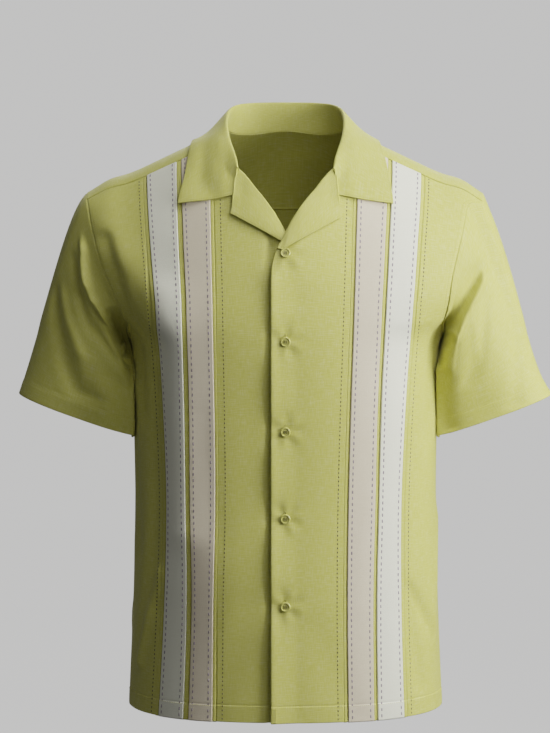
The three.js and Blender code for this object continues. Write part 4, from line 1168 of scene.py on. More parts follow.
def clear_of_body(point, side):
    """Keeps the sleeve's inner side just clear of the body's side."""
    z = point[..., 2]
    top = np.full_like(z, UNDERARM_LEVEL + 1.0)
    low = halve(np.zeros_like(z), top, lambda level: ring(level, "z") < z)
    half, front, back = ring(low, "half", "front", "back")
    y = point[..., 1] - BODY_MIDDLE_Y
    ahead = np.clip(np.abs(y) / np.where(y < 0, front, back), 0, 1)
    least = half * (1 - ahead**SQUARENESS) ** (1 / SQUARENESS) + SLEEVE_CLEARANCE
    off = (side * point[..., 0] - least) / SLEEVE_EASE
    eased = least + SLEEVE_EASE * np.logaddexp(0, off) - 1.0
    near = smooth(BODY["z"][UNDERARM_LEVEL] + 30, BODY["z"][UNDERARM_LEVEL] + 2, z)
    point[..., 0] = lerp(point[..., 0], side * np.maximum(eased, least), near)
    return point


def fall_back(points, share, down, word):
    """Draws the front of a sleeve back into the hollow between the arm and the body."""
    path = SLEEVE_HOLLOWS[word]
    x, z = SIDES[word] * points[..., 0], points[..., 2]
    nearest = np.full(x.shape, 9.0)
    depth = np.zeros(x.shape)
    for start in range(int(path.last)):
        x1, z1, x2, z2 = (path[name][start + end] for end in (0, 1) for name in ("x", "z"))
        span = math.hypot(x2 - x1, z2 - z1)
        t = np.clip(((x - x1) * (x2 - x1) + (z - z1) * (z2 - z1)) / span**2, 0, 1)
        inner = ((x - x1) * (z2 - z1) - (z - z1) * (x2 - x1)) > 0
        width = path.between(start + t, "width") * np.where(inner, HOLLOW_LEAN, 1)
        reach = np.hypot(x - lerp(x1, x2, t), z - lerp(z1, z2, t)) / width
        depth = np.where(reach < nearest, path.between(start + t, "depth") * np.exp(-(reach**2)), depth)
        nearest = np.minimum(nearest, reach)
    ahead = np.where(share < 0.5, 1.0, 0.0) * smooth(0, 0.07, down)
    points[..., 1] += ahead * depth * np.maximum(HOLLOW_Y - points[..., 1], 0)
    return points


def sleeve_fold(word, share, down):
    """Height of a sleeve's folds, soft unevenness and the gathers at its seam."""
    a, b = share * SLEEVE_GIRTH, down * SLEEVE_LENGTH
    names = ("round1", "down1", "round2", "down2")
    sizes = (SLEEVE_GIRTH, SLEEVE_LENGTH)
    height = folds(SLEEVE_FOLDS[word], a, b, names, *sizes)
    height = height + folds(SLEEVE_FOLDS[word], a - SLEEVE_GIRTH, b, names, *sizes)
    circle = share * 2 * math.pi
    waves = ripple(60 * np.cos(circle) + 40 * np.sin(circle), b, SIDES[word] + 8, 20, 0.5)
    gathers = 0.22 * np.sin(share * 2 * math.pi * 46) * bell(b, 9)
    height = height * (1 - 0.8 * bell(share - 0.5, 0.08))
    return height * smooth(0, 0.08, down) + waves * smooth(0, 0.2, down) + gathers


def sleeve_grid(word, step):
    """Points of a sleeve from its armhole down to the cuff, the hem turned inside."""
    side = SIDES[word]
    turn, level, share = armhole_curve(side, round(SLEEVE_GIRTH * 1.12 / step))
    place, normal = shirt_at(turn, level)
    ahead = np.roll(place[:-1], -1, 0) - np.roll(place[:-1], 1, 0)
    ahead = unit(np.concatenate([ahead, ahead[:1]]))
    out = unit(np.cross(normal, ahead) * side)
    below = smooth(0, 0.5, out[:, 2])[:, None]
    under = smooth(0.5, 0.56, share)[:, None] * smooth(1.0, 0.94, share)[:, None]
    start = place + out * lerp(0.15 * (1.2 + 3 * below), -0.8, under) - normal * 0.9 * under
    end = cuff_point(side, share)
    reach = np.linalg.norm(end - start, axis=-1, keepdims=True)
    tilt = CUFF["tilt"] * DEG
    axis = np.array([side * math.sin(tilt), 0, -math.cos(tilt)])
    flow = SLEEVE_FLOW[word]
    lean = unit(normal * [1, 1, 0] + [0.3 * side, 0, -0.25])
    leave = unit(lerp(axis, out, flow["leave_out"]))
    leave = unit(lerp(leave, lean, below)) * reach * lerp(flow["leave_reach"], 0.3, below)
    tilt = lerp(15, flow["arrive_tilt"], 0.5 + 0.5 * np.cos(share * 2 * math.pi)) * DEG
    arrive = np.stack([side * np.sin(tilt), 0 * tilt, -np.cos(tilt)], -1)
    arrive = arrive * reach * lerp(flow["arrive_reach"], 0.8, below)
    down = stops(SLEEVE_LENGTH, step, fine_end=False)[:, None, None]
    points = hermite(start, leave, end, arrive, down)
    hug = SLEEVE_HUG * bell(share - 0.5, 0.16) * smooth(-238, -285, points[..., 2])
    points[..., 0] -= side * hug
    outward = grid_normals(points)
    centre = points.mean(1, keepdims=True)
    if (outward * (points - centre)).sum() < 0:
        outward = -outward
    down = down[..., 0]
    length = along(points, 0)
    lift = sleeve_fold(word, share[None], down) + seam_dip(length, 0.6, 0.8)
    lift = lift + hem_relief(length[-1:] - length)
    moved = points + outward * lift[..., None]
    moved[1:] = clear_of_body(fall_back(moved[1:], share[None], down[1:], word), side)
    moved[:, -1] = moved[:, 0]
    normals = grid_normals(moved, outward)
    hem = turned_under(moved[-1], normals[-1], unit(moved[-1] - moved[-3]), HEM_RADIUS, HEM_BACK)
    points = np.concatenate([moved, hem])
    u = share[None] * SLEEVE_GIRTH + 0 * down
    v = -down * SLEEVE_LENGTH + 0 * u
    hem_v = -SLEEVE_LENGTH + turned_places(HEM_BACK)[::-1, None] + 0 * u[:1]
    uv = np.stack([np.concatenate([u, u[:1].repeat(TURNED, 0)]), np.concatenate([v, hem_v])], -1)
    guide = np.concatenate([normals, 0 * hem])
    return points, guide, uv, moved, normals


# ------------------------------------------------------------------ collar
def collar_lift(x):
    """How far the fall of the collar stands off the shirt."""
    return lerp(0.8, 2.7, smooth(62, 78, np.abs(x)))


def above_shirt(point):
    """Height of points above the shirt's plain face, and the directions there."""
    shape = point.shape[:-1]
    flat = point.reshape(-1, 3)
    levels = np.arange(7, 21.01, 0.1)[None]
    turn, level = over_ridge(flat[:, :1], levels)
    near = plain_point(turn, level + 0 * turn)
    best = np.linalg.norm(near - flat[:, None], axis=-1).argmin(1)
    number = np.arange(len(flat))
    turn, level = turn[number, best], (level + 0 * turn)[number, best]
    normal = plain_normal(turn, level)
    height = ((flat - near[number, best]) * normal).sum(-1)
    return height.reshape(shape), normal.reshape(*shape, 3)


def collar_end(side, t):
    """Front end of the collar: down the gorge to the notch, then out to the tip."""
    gorge = t / NOTCH_SHARE
    tip = (t - NOTCH_SHARE) / (1 - NOTCH_SHARE)
    in_gorge = t <= NOTCH_SHARE
    gorge_x = lerp(COLLAR["neck_x"][0] + 0.6, NOTCH["x"], gorge)
    x = np.where(in_gorge, gorge_x, lerp(NOTCH["x"], COLLAR_TIP["x"], tip))
    past = np.maximum(tip, 0) ** 1.6
    gorge_level = lerp(10.2, NOTCH["level"], gorge)
    level = np.where(in_gorge, gorge_level, lerp(NOTCH["level"], COLLAR_TIP["level"], past))
    return side * x, level


def collar_column(station, side):
    """One line of the collar: neck seam, stand, rolled top, fall and outer edge."""
    half = DOUBLE_CLOTH / 2
    fold = np.array([COLLAR.between(station, name) for name in ("fold_x", "fold_y", "fold_z")])
    fold[0] *= side
    neck_x, neck_level = neck_plan(np.array(station))
    seat, seat_normal = shirt_across(side * neck_x, neck_level)
    edge_x = COLLAR.between(station, "edge_x") - (3.0 * bell(station - 2.2, 1.2) if side < 0 else 0)
    edge_level = level_at_depth(edge_x, COLLAR.between(station, "edge_y"))
    edge, edge_normal = shirt_across(side * edge_x, edge_level)
    edge = edge + edge_normal * (2.7 + half)
    outward = edge - fold
    outward[2] = 0
    outward = unit(outward)
    front = 1 - smooth(0, 1.4, station)
    foot = seat + seat_normal * (half + 0.8) + outward * 0.6
    rise = np.linalg.norm(fold - foot)
    stand = fold - outward * COLLAR_FOLD_RADIUS * 0.5
    stand[2] -= min(COLLAR_FOLD_RADIUS * 1.6, 0.45 * rise)
    reach = np.linalg.norm(fold - edge)
    leave = outward * 0.55
    leave[2] = -0.5 - 0.5 * front
    leave = unit(leave) * reach
    arrive = edge - fold
    arrive = unit(arrive - edge_normal * (arrive @ edge_normal)) * reach
    steps = np.arange(1, COLLAR_FALL_STEPS + 1) / COLLAR_FALL_STEPS
    fall = hermite(fold, leave, edge, arrive, (0.06 + 0.94 * steps)[:, None])
    if station == 0:
        end = collar_end(side, steps)
        fall = raised(shirt_across(*end), collar_lift(end[0]) + half)
    return np.concatenate([[foot, lerp(foot, stand, 0.5), stand, fold], fall])


def lay_on_shirt(points, clearance):
    """Lifts points that lie closer to the shirt than the clearance."""
    height, normal = above_shirt(points)
    short = np.maximum(clearance - height, 0)
    return points + normal * short[..., None]


def refined(grid, parts, keep_straight=None):
    """A grid with parts new rows to each old one, along smooth curves."""
    count = len(grid)
    place = np.linspace(0, count - 1, (count - 1) * parts + 1)
    longer = np.concatenate([[2 * grid[0] - grid[1]], grid, [2 * grid[-1] - grid[-2]]])
    index = np.minimum(place.astype(int), count - 2)
    t = (place - index).reshape(-1, *([1] * (grid.ndim - 1)))
    curved = spline(*(longer[index + k] for k in range(4)), t)
    straight = lerp(grid[index], grid[index + 1], t)
    return curved if keep_straight is None else lerp(curved, straight, keep_straight)


COLLAR_ROWS = 7
COLLAR_COLUMNS = 6
FALL_COLUMN = 4 * COLLAR_COLUMNS


def collar_grid():
    """Middle face of the collar, from one gorge round the neck to the other."""
    stations = COLLAR.last * np.arange(COLLAR_HALF_STATIONS + 1) / COLLAR_HALF_STATIONS
    columns = [collar_column(station, 1) for station in stations]
    columns += [collar_column(station, -1) for station in stations[-2::-1]]
    rough = np.stack(columns)
    rough[:, 4:] = lay_on_shirt(rough[:, 4:], collar_lift(rough[:, 4:, 0]) + DOUBLE_CLOTH / 2)
    ends = np.zeros(len(rough))
    ends[[0, -1]] = 1
    fine = refined(rough.transpose(1, 0, 2), COLLAR_COLUMNS, ends[None, :, None]).transpose(1, 0, 2)
    fine = refined(fine, COLLAR_ROWS)
    fall = fine[:, FALL_COLUMN:]
    fine[:, FALL_COLUMN:] = lay_on_shirt(fall, collar_lift(fall[..., 0]) + DOUBLE_CLOTH / 2)
    return fine


def collar_relief(grid):
    """Soft bends of the collar and its lifted front edges, as heights along its face."""
    rows, columns = grid.shape[:2]
    station = np.abs(np.linspace(-1, 1, rows))[:, None]
    down = np.clip((np.arange(columns) - FALL_COLUMN) / (columns - 1 - FALL_COLUMN), 0, 1)[None]
    side = np.where(np.arange(rows) < rows / 2, 1, -1)[:, None]
    front = smooth(0.62, 1.0, station)
    edge = smooth(0.45, 1.0, down)
    lift = front * edge * np.where(side > 0, 0.9, 1.9)
    length = along(grid, 0)
    wave = ripple(length, along(grid, 1), 21, 17, 0.45) * smooth(0.1, 0.5, down)
    hollow = 1.8 * bell(down - 0.5, 0.22) * smooth(0.4, 0.8, station) * np.where(side > 0, 0, 1)
    return lift + wave - hollow


# ------------------------------------------------------------------ lapels
LAPEL_ROWS = 64
LAPEL_COLUMNS = 30
LAPEL_TURN = 2.15
LEFT_LAPEL_LOWER = 0.13
LAPEL_NOTCH_ROW = 1 / 8


def lapel_grid(word):
    """Outer face of a turned-back front, rolled round the front's free edge."""
    side = SIDES[word]
    t = np.linspace(0, 1, LAPEL_ROWS + 1)[:, None]
    s = np.linspace(0, 1, LAPEL_COLUMNS + 1)[None]
    lower = LEFT_LAPEL_LOWER if side > 0 else 0
    roll_level = lerp(ROLL_TOP, LAPEL_EDGE["level"][-1] + 0.04 - lower, t)
    roll_x = front_edge_x(roll_level) + 0.4
    edge_x = LAPEL_EDGE.between(t * LAPEL_EDGE.last, "x")
    edge_level = LAPEL_EDGE.between(t * LAPEL_EDGE.last, "level") - lower
    x = lerp(roll_x, edge_x, s)
    level = lerp(roll_level, edge_level, s)
    halves = [0, 0.5, 1]
    first_x = np.interp(s, halves, [roll_x[0, 0] + 1.8, NOTCH["x"] + 0.9, edge_x[0, 0]])
    first_level = np.interp(s, halves, [roll_level[0, 0], NOTCH["level"] - 0.02, edge_level[0, 0]])
    at_notch = np.clip(1 - t / LAPEL_NOTCH_ROW, 0, 1)
    x = lerp(x, first_x, at_notch)
    level = lerp(level, first_level, at_notch)
    place = shirt_across(side * x, level)
    loose = 2.0 if side < 0 else 0.7
    belly = 0.9 * np.sin(math.pi * s) * smooth(0, 0.3, t) * (1 - smooth(0.75, 1, t))
    tip = smooth(0.25, 1, s) * (1 - 0.75 * smooth(0.7, 1, t))
    seamed = 1.6 * at_notch * (1 - smooth(0.5, 0.8, s))
    lift = overlap_lift(side, x, level) + LAPEL_LIFT + DOUBLE_CLOTH + loose * tip + belly + seamed
    points = raised(place, lift)
    normals = place[1]
    off = unit(points[:, 0] - points[:, 2])
    curl = turned_under(points[:, 0], normals[:, 0], off, LAPEL_TURN, 5.0)
    points = np.concatenate([curl[::-1].transpose(1, 0, 2), points], 1)
    u = along(points, 1)
    v = along(points, 0)[:, TURNED + 8:TURNED + 9] + 0 * u
    return points, facing_like(points, normals, 0, TURNED), np.stack([u, -v], -1)


# ------------------------------------------------------------------ stitches
def trace(points, normals, measure, wanted):
    """The line over a grid where, row by row, a rising measure has the wanted value."""
    rows = np.arange(len(points))
    wanted = np.broadcast_to(np.asarray(wanted, float).reshape(-1), len(points))
    column = np.clip((measure < wanted[:, None]).sum(1), 1, measure.shape[1] - 1)
    low, high = measure[rows, column - 1], measure[rows, column]
    t = np.clip((wanted - low) / np.maximum(high - low, 1e-9), 0, 1)[:, None]
    line = lerp(points[rows, column - 1], points[rows, column], t)
    return line, unit(lerp(normals[rows, column - 1], normals[rows, column], t))


def turned_grid(points):
    """A grid with its rows and columns exchanged."""
    return points.swapaxes(0, 1)


BEAD_SIDES = 5
BEAD_RINGS = (-0.32, 0.32)
# Kinds of stitch: from stitch to stitch, length, width and height.
STITCHES = {
    "band": (7.3, 4.2, 1.55, 0.6),
    "green": (5.0, 2.6, 1.4, 0.6),
    "top": (2.6, 2.1, 0.45, 0.35),
    "buttonhole": (0.55, 1.3, 0.75, 0.5),
}
PICK_ON_BAND = 5.0
PICK_BESIDE_INNER = 7.0
PICK_BESIDE_OUTER = 9.5
CUFF_STITCHING = 19.0
ARMHOLE_STITCHING = 6.0
EDGE_STITCHING = 2.2


def bead_shape():
    """Points and faces of one stitch, 1 long, 1 wide and 1 high."""
    turns = np.arange(BEAD_SIDES) / BEAD_SIDES * 2 * math.pi
    rings = [np.stack([0 * turns + s, np.cos(turns) / 2, np.sin(turns) / 2], -1) for s in BEAD_RINGS]
    shape = np.concatenate([[[-0.5, 0, -0.12]], *rings, [[0.5, 0, -0.12]]])
    last = len(shape) - 1
    sides, ends = [], []
    for i in range(BEAD_SIDES):
        j = (i + 1) % BEAD_SIDES
        sides.append((1 + i, 1 + j, 1 + BEAD_SIDES + j, 1 + BEAD_SIDES + i))
        ends.append((0, 1 + j, 1 + i))
        ends.append((last, 1 + BEAD_SIDES + i, 1 + BEAD_SIDES + j))
    return shape, sides + ends


def stitched(name, lines, kind, seed=0):
    """Stitches of a kind along lines on cloth, as one mesh."""
    pitch, length, width, height = STITCHES[kind]
    shape, shape_faces = bead_shape()
    uneven = np.random.default_rng(seed)
    all_points, all_faces = [], []
    count = 0
    for line, facing in lines:
        run = along(line, 0)
        places = np.arange(pitch * 0.6, run[-1] - pitch * 0.4, pitch)
        if len(places) < 2:
            continue
        centre = np.stack([np.interp(places, run, line[:, k]) for k in range(3)], -1)
        up = unit(np.stack([np.interp(places, run, facing[:, k]) for k in range(3)], -1))
        ahead = unit(np.gradient(centre, axis=0))
        aside = unit(np.cross(up, ahead))
        size = 1 + 0.12 * (uneven.random((len(places), 1, 1)) - 0.5)
        turn = 0.12 * (uneven.random((len(places), 1)) - 0.5)
        ahead = unit(ahead + aside * turn)
        s, a, h = (shape[:, k][None, :, None] for k in range(3))
        points = centre[:, None] + size * (
            ahead[:, None] * s * length + aside[:, None] * a * width + up[:, None] * (h + 0.22) * height
        )
        for i in range(len(places)):
            start = count + i * len(shape)
            all_faces.extend([tuple(start + k for k in face) for face in shape_faces])
        all_points.append(points.reshape(-1, 3))
        count += len(places) * len(shape)
    mesh = bpy.data.meshes.new(name)
    mesh.from_pydata((np.concatenate(all_points) * MM).tolist(), [], all_faces)
    piece = bpy.data.objects.new(name, mesh)
    bpy.context.collection.objects.link(piece)
    smooth_faces(piece, 70)
    return piece


# ------------------------------------------------------------------ finishes in use
FINISHES = {}


def shaded(value, share):
    """A colour made darker by the factor share, opaque."""
    return (*(part * share for part in value[:3]), 1.0)


def lightened(value, share):
    """A colour carried some share of the way to white, opaque."""
    return (*(lerp(part, 1.0, share) for part in value[:3]), 1.0)


def finish_named(name):
    """Each finish is made once, from the colours in the panel."""
    if name in FINISHES:
        return FINISHES[name]
    tints = bpy.context.scene.shirt_colours
    green, white, beige = ((*tint, 1.0) for tint in (tints.green, tints.white, tints.beige))
    if name == "green_weave":
        colours = (green, shaded(green, 0.82), lightened(green, 0.22))
        made = woven(name, *colours, 0.8, 0.62, 0.25, (0.95, 0.93, 0.6, 1))
    elif name == "white_weave":
        made = woven(name, white, shaded(white, 0.9), lightened(white, 0.4), 0.3, 0.55)
    elif name == "beige_weave":
        made = woven(name, beige, shaded(beige, 0.9), lightened(beige, 0.25), 0.35, 0.58)
    elif name == "green_plastic":
        made = plastic(name, (*tints.button, 1.0), shaded(tints.button, 0.7))
    elif name == "green_thread":
        made = twisted_thread(name, shaded(green, 0.85), shaded(green, 0.6))
    # Thread that sews the buttons on, far darker than the other green thread: its darkness is partly the
    # thread's own colour and partly painted shade for the button's holes and hollow.
    elif name == "button_thread_painted_shade":
        made = twisted_thread(name, shaded(green, 0.28), shaded(green, 0.15))
    elif name == "pick_thread_pale":
        made = twisted_thread(name, (*tints.pick_pale, 1.0), shaded(tints.pick_pale, 0.6))
    elif name == "pick_thread_green":
        made = twisted_thread(name, (*tints.pick_green, 1.0), shaded(tints.pick_green, 0.6))
    else:
        raise ValueError(name)
    FINISHES[name] = made
    return made


def sew(name, grid, material, slot, nodes, thickness, closed=False, offset=-1.0):
    """Cloth over a grid: a layer with its thickness, finish and place in the frame."""
    piece = grid_piece(name, *grid, closed)
    thicken(piece, thickness * MM, offset)
    smooth_faces(piece)
    return settle(piece, finish_named(material), slot, *nodes)


GRIDS = {}
STRIP_LOOKS = {
    "inner_tuck": ("green_weave", "shirt_cloth"),
    "beige_band": ("beige_weave", "beige_cloth"),
    "middle_tuck": ("green_weave", "shirt_cloth"),
    "white_band": ("white_weave", "white_cloth"),
    "outer_tuck": ("green_weave", "shirt_cloth"),
}


# ------------------------------------------------------------------ properties
class ShirtCloth(bpy.types.PropertyGroup):
    thickness: bpy.props.FloatProperty(
        name="Cloth", description="Thickness of one layer of cloth, in millimetres",
        default=0.7, min=0.3, max=1.2,
    )
    step: bpy.props.FloatProperty(
        name="Grid step", description="Distance between the points of a panel, in millimetres",
        default=2.8, min=2,
    )


def swatch(name, description, levels):
    """A colour in the panel, given in 0 to 255."""
    return bpy.props.FloatVectorProperty(
        name=name, description=description, subtype="COLOR", size=3,
        default=linear(levels)[:3], min=0, max=1,
    )


class ShirtColours(bpy.types.PropertyGroup):
    green: swatch("Green", "Colour of the shirt's cloth", (199, 195, 95))
    white: swatch("White", "Colour of the outer band", (234, 233, 213))
    beige: swatch("Beige", "Colour of the inner band", (218, 205, 179))
    button: swatch("Buttons", "Colour of the buttons", (198, 194, 104))
    pick_pale: swatch("Stitches on the bands", "Colour of the long stitches on the bands", (148, 136, 144))
    pick_green: swatch("Stitches on the green", "Colour of the long stitches on the green", (92, 88, 50))


class ShirtStudio(bpy.types.PropertyGroup):
    key_power: bpy.props.FloatProperty(
        name="Key light", description="Power of the main light", default=29.5, min=0, subtype="POWER"
    )
    fill_power: bpy.props.FloatProperty(
        name="Fill light", description="Power of the front light", default=4.4, min=0, subtype="POWER"
    )
    surround: bpy.props.FloatProperty(
        name="Surround", description="Strength of the even light from all sides", default=1.8, min=0
    )


# ------------------------------------------------------------------ operators
class SHIRT_OT_fronts(bpy.types.Operator):
    """Sew both fronts, with their hems and free edges turned under"""

    bl_idname = "shirt.fronts"
    bl_label = "Fronts"

    def execute(self, context):
        cloth = context.scene.shirt_cloth
        for word in SIDES:
            GRIDS["front", word] = grid = front_grid(word, cloth.step)
            nodes = ["front_" + word]
            piece = sew("front_cloth_" + word, grid, "green_weave", "shirt_cloth", nodes, cloth.thickness)
        return {"FINISHED"}


class SHIRT_OT_bands(bpy.types.Operator):
    """Lay the beige and white bands and the three tucks on each front"""

    bl_idname = "shirt.bands"
    bl_label = "Bands and tucks"

    def execute(self, context):
        cloth = context.scene.shirt_cloth
        for word in SIDES:
            for kind, (material, slot) in STRIP_LOOKS.items():
                GRIDS[kind, word] = grid = strip_grid(word, kind, cloth.step)
                node = kind + "_" + word
                piece = sew(kind + "_cloth_" + word, grid, material, slot, [node], 0.5)
        return {"FINISHED"}


class SHIRT_OT_back(bpy.types.Operator):
    """Sew the back, with its hem turned under"""

    bl_idname = "shirt.back"
    bl_label = "Back"

    def execute(self, context):
        cloth = context.scene.shirt_cloth
        GRIDS["back", ""] = grid = back_grid(cloth.step + 0.4)
        piece = sew("back_cloth", grid, "green_weave", "shirt_cloth", ["back"], cloth.thickness)
        return {"FINISHED"}


class SHIRT_OT_yoke(bpy.types.Operator):
    """Sew the yoke over the shoulders"""

    bl_idname = "shirt.yoke"
    bl_label = "Yoke"

    def execute(self, context):
        cloth = context.scene.shirt_cloth
        GRIDS["yoke", ""] = grid = yoke_grid(cloth.step)
        piece = sew("yoke_cloth", grid, "green_weave", "shirt_cloth", ["yoke"], cloth.thickness)
        return {"FINISHED"}


class SHIRT_OT_sleeves(bpy.types.Operator):
    """Sew both sleeves, with their hems turned inside"""

    bl_idname = "shirt.sleeves"
    bl_label = "Sleeves"

    def execute(self, context):
        cloth = context.scene.shirt_cloth
        for word in SIDES:
            points, normals, uv, outer, facing = sleeve_grid(word, cloth.step)
            GRIDS["sleeve", word] = (outer, facing)
            piece = sew(
                "sleeve_cloth_" + word, (points, normals, uv), "green_weave", "shirt_cloth",
                ["sleeve_" + word], cloth.thickness, closed=True,
            )
        return {"FINISHED"}


class SHIRT_OT_collar(bpy.types.Operator):
    """Sew the collar: its stand, the rolled top and the fall over the shoulders"""

    bl_idname = "shirt.collar"
    bl_label = "Collar"

    def execute(self, context):
        points = collar_grid()
        guide = grid_normals(points)
        if guide[:, FALL_COLUMN + COLLAR_COLUMNS:, 2].sum() < 0:
            guide = -guide
        points = points + guide * collar_relief(points)[..., None]
        guide = grid_normals(points, guide)
        down = along(points, 1)
        uv = np.stack([along(points, 0)[:, -1:] + 0 * down, down - down[:, -1:]], -1)
        GRIDS["collar", ""] = (points + guide * DOUBLE_CLOTH / 2, guide)
        grid = (points, guide, uv)
        nodes = ["collar"]
        piece = sew("collar_cloth", grid, "green_weave", "shirt_cloth", nodes, DOUBLE_CLOTH, offset=0.0)
        return {"FINISHED"}


class SHIRT_OT_lapels(bpy.types.Operator):
    """Turn back the top of each front"""

    bl_idname = "shirt.lapels"
    bl_label = "Turned-back fronts"

    def execute(self, context):
        for word in SIDES:
            GRIDS["lapel", word] = grid = lapel_grid(word)
            nodes = ["lapel_" + word]
            piece = sew("lapel_cloth_" + word, grid, "green_weave", "shirt_cloth", nodes, DOUBLE_CLOTH)
        return {"FINISHED"}


def front_level_at(x, z):
    """Level of the front at a distance from the centre line and a height."""
    x, z = np.broadcast_arrays(np.asarray(x, float), z)
    low = np.zeros(x.shape)
    return halve(low, low + 9, lambda level: shirt_at(*over_ridge(x, level))[0][..., 2] < z)


class SHIRT_OT_buttons(bpy.types.Operator):
    """Finish the buttons, sew them on with thread and work a buttonhole behind each"""

    bl_idname = "shirt.buttons"
    bl_label = "Buttons and buttonholes"

    def execute(self, context):
        for i, z in enumerate(BUTTON_HEIGHTS):
            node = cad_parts["button_" + str(i + 1)]
            node.data.materials.clear()
            node.data.materials.append(finish_named("green_plastic"))
            level = front_level_at(BUTTON_X, z)
            place, normal = shirt_across(np.array(BUTTON_X), level)
            floor = BUTTON_SEAT + BUTTON_HEIGHT - BUTTON_HOLLOW
            seat = place + normal * (overlap_lift(1, 0, level) + floor)
            self.thread_bars("button_thread_painted_shade_" + str(i + 1), seat, normal)
            self.buttonhole("buttonhole_" + str(i + 1), z)
        return {"FINISHED"}

    @staticmethod
    def thread_bars(name, seat, normal):
        """Two short bars of thread, each from hole to hole."""
        bars = []
        upright = unit(np.array([0, 0, 1.0]) - normal * normal[2])
        turn = Vector((0, 0, 1)).rotation_difference(Vector(upright.tolist())).to_euler()
        for side in (-1, 1):
            middle = seat + np.array([side * BUTTON_HOLE_SPACING, 0, 0]) + normal * 0.25
            clear_selection()
            bpy.ops.mesh.primitive_cylinder_add(
                vertices=10, radius=BUTTON_THREAD_RADIUS * MM, depth=2.7 * BUTTON_HOLE_SPACING * MM,
                location=Vector(middle.tolist()) * MM, rotation=turn,
            )
            bar = bpy.context.object
            bpy.ops.object.transform_apply(location=True, rotation=True, scale=True)
            bars.append(bar)
        clear_selection()
        for bar in bars:
            bar.select_set(True)
        bpy.context.view_layer.objects.active = bars[0]
        bpy.ops.object.join()
        bars[0].name = name
        bars[0].data.name = name
        smooth_faces(bars[0])
        # The bars take the dark button thread, whose colour carries painted shade for the button's holes.
        settle(bars[0], finish_named("button_thread_painted_shade"), "button_plastic")

    @staticmethod
    def buttonhole(name, z):
        """A narrow stitched slot that stands upright behind its button."""
        turns = np.linspace(0, 2 * math.pi, 45)[:-1]
        centre_z = z + BUTTONHOLE["above"]
        x = BUTTON_X + BUTTONHOLE["half_width"] * np.cos(turns)
        height = centre_z + BUTTONHOLE["half_length"] * signed_power(np.sin(turns), 0.6)
        level = front_level_at(x, height)
        place, normal = shirt_across(x, level)
        z_there = place[..., 2]
        lift = overlap_lift(1, x, level) + edge_stand_off(1, x, z_there) + button_pucker(x, z_there)
        line = raised((place, normal), lift + 0.15)
        closed = np.concatenate([line, line[:2]]), np.concatenate([normal, normal[:2]])
        piece = stitched(name, [closed], "buttonhole")
        settle(piece, finish_named("green_thread"), "shirt_cloth")


def pick_lines(word):
    """Rows of long stitches beside the edges of the bands: on the bands, and on the green."""
    pale, green = [], []
    for kind in ("beige_band", "white_band"):
        points, normals, _ = GRIDS[kind, word]
        points, normals = points[TURNED:, 1:-1], normals[TURNED:, 1:-1]
        across = along(points, 1)
        width = across[:, -1]
        pale.append(trace(points, normals, across, np.full(len(points), PICK_ON_BAND)))
        pale.append(trace(points, normals, across, width - PICK_ON_BAND))
    points, normals, _ = GRIDS["front", word]
    points, normals = points[TURNED:, TURNED:], normals[TURNED:, TURNED:]
    side = SIDES[word]
    level = body_levels(0, FRONT_SEAM_LEVEL, bpy.context.scene.shirt_cloth.step)
    lines = band_lines(word, level)
    inner_pick = lines["beige_in"] - TUCK_WIDTH - PICK_BESIDE_INNER
    for wanted in (inner_pick, lines["white_out"] + PICK_BESIDE_OUTER):
        green.append(trace(points, normals, side * points[..., 0], wanted))
    return pale, green


class SHIRT_OT_stitches(bpy.types.Operator):
    """Work the rows of long stitches beside the bands"""

    bl_idname = "shirt.stitches"
    bl_label = "Long stitches"

    def execute(self, context):
        for seed, word in enumerate(SIDES):
            pale, green = pick_lines(word)
            piece = stitched("band_stitches_" + word, pale, "band", seed)
            settle(piece, finish_named("pick_thread_pale"), "white_cloth")
            piece = stitched("green_stitches_" + word, green, "green", seed + 2)
            settle(piece, finish_named("pick_thread_green"), "shirt_cloth")
        return {"FINISHED"}


def line_across(points, normals, measure, wanted):
    """A line across a panel where a measure that rises along its columns has the wanted value."""
    return trace(turned_grid(points), turned_grid(normals), turned_grid(measure), wanted)


def hem_line(points, normals):
    """The line of stitches that holds a hem."""
    return line_across(points, normals, along(points, 0), HEM_LINE)


def line_inside(points, normals, distance):
    """A line down a panel at a distance inside its last column."""
    from_edge = along(points, 1)[:, -1:] - along(points, 1)
    return trace(points[:, ::-1], normals[:, ::-1], from_edge[:, ::-1], distance)


def armhole_part(line, facing):
    """The part of a line above the underarm."""
    above = line[:, 2] > BODY["z"][UNDERARM_LEVEL]
    return line[above], facing[above]


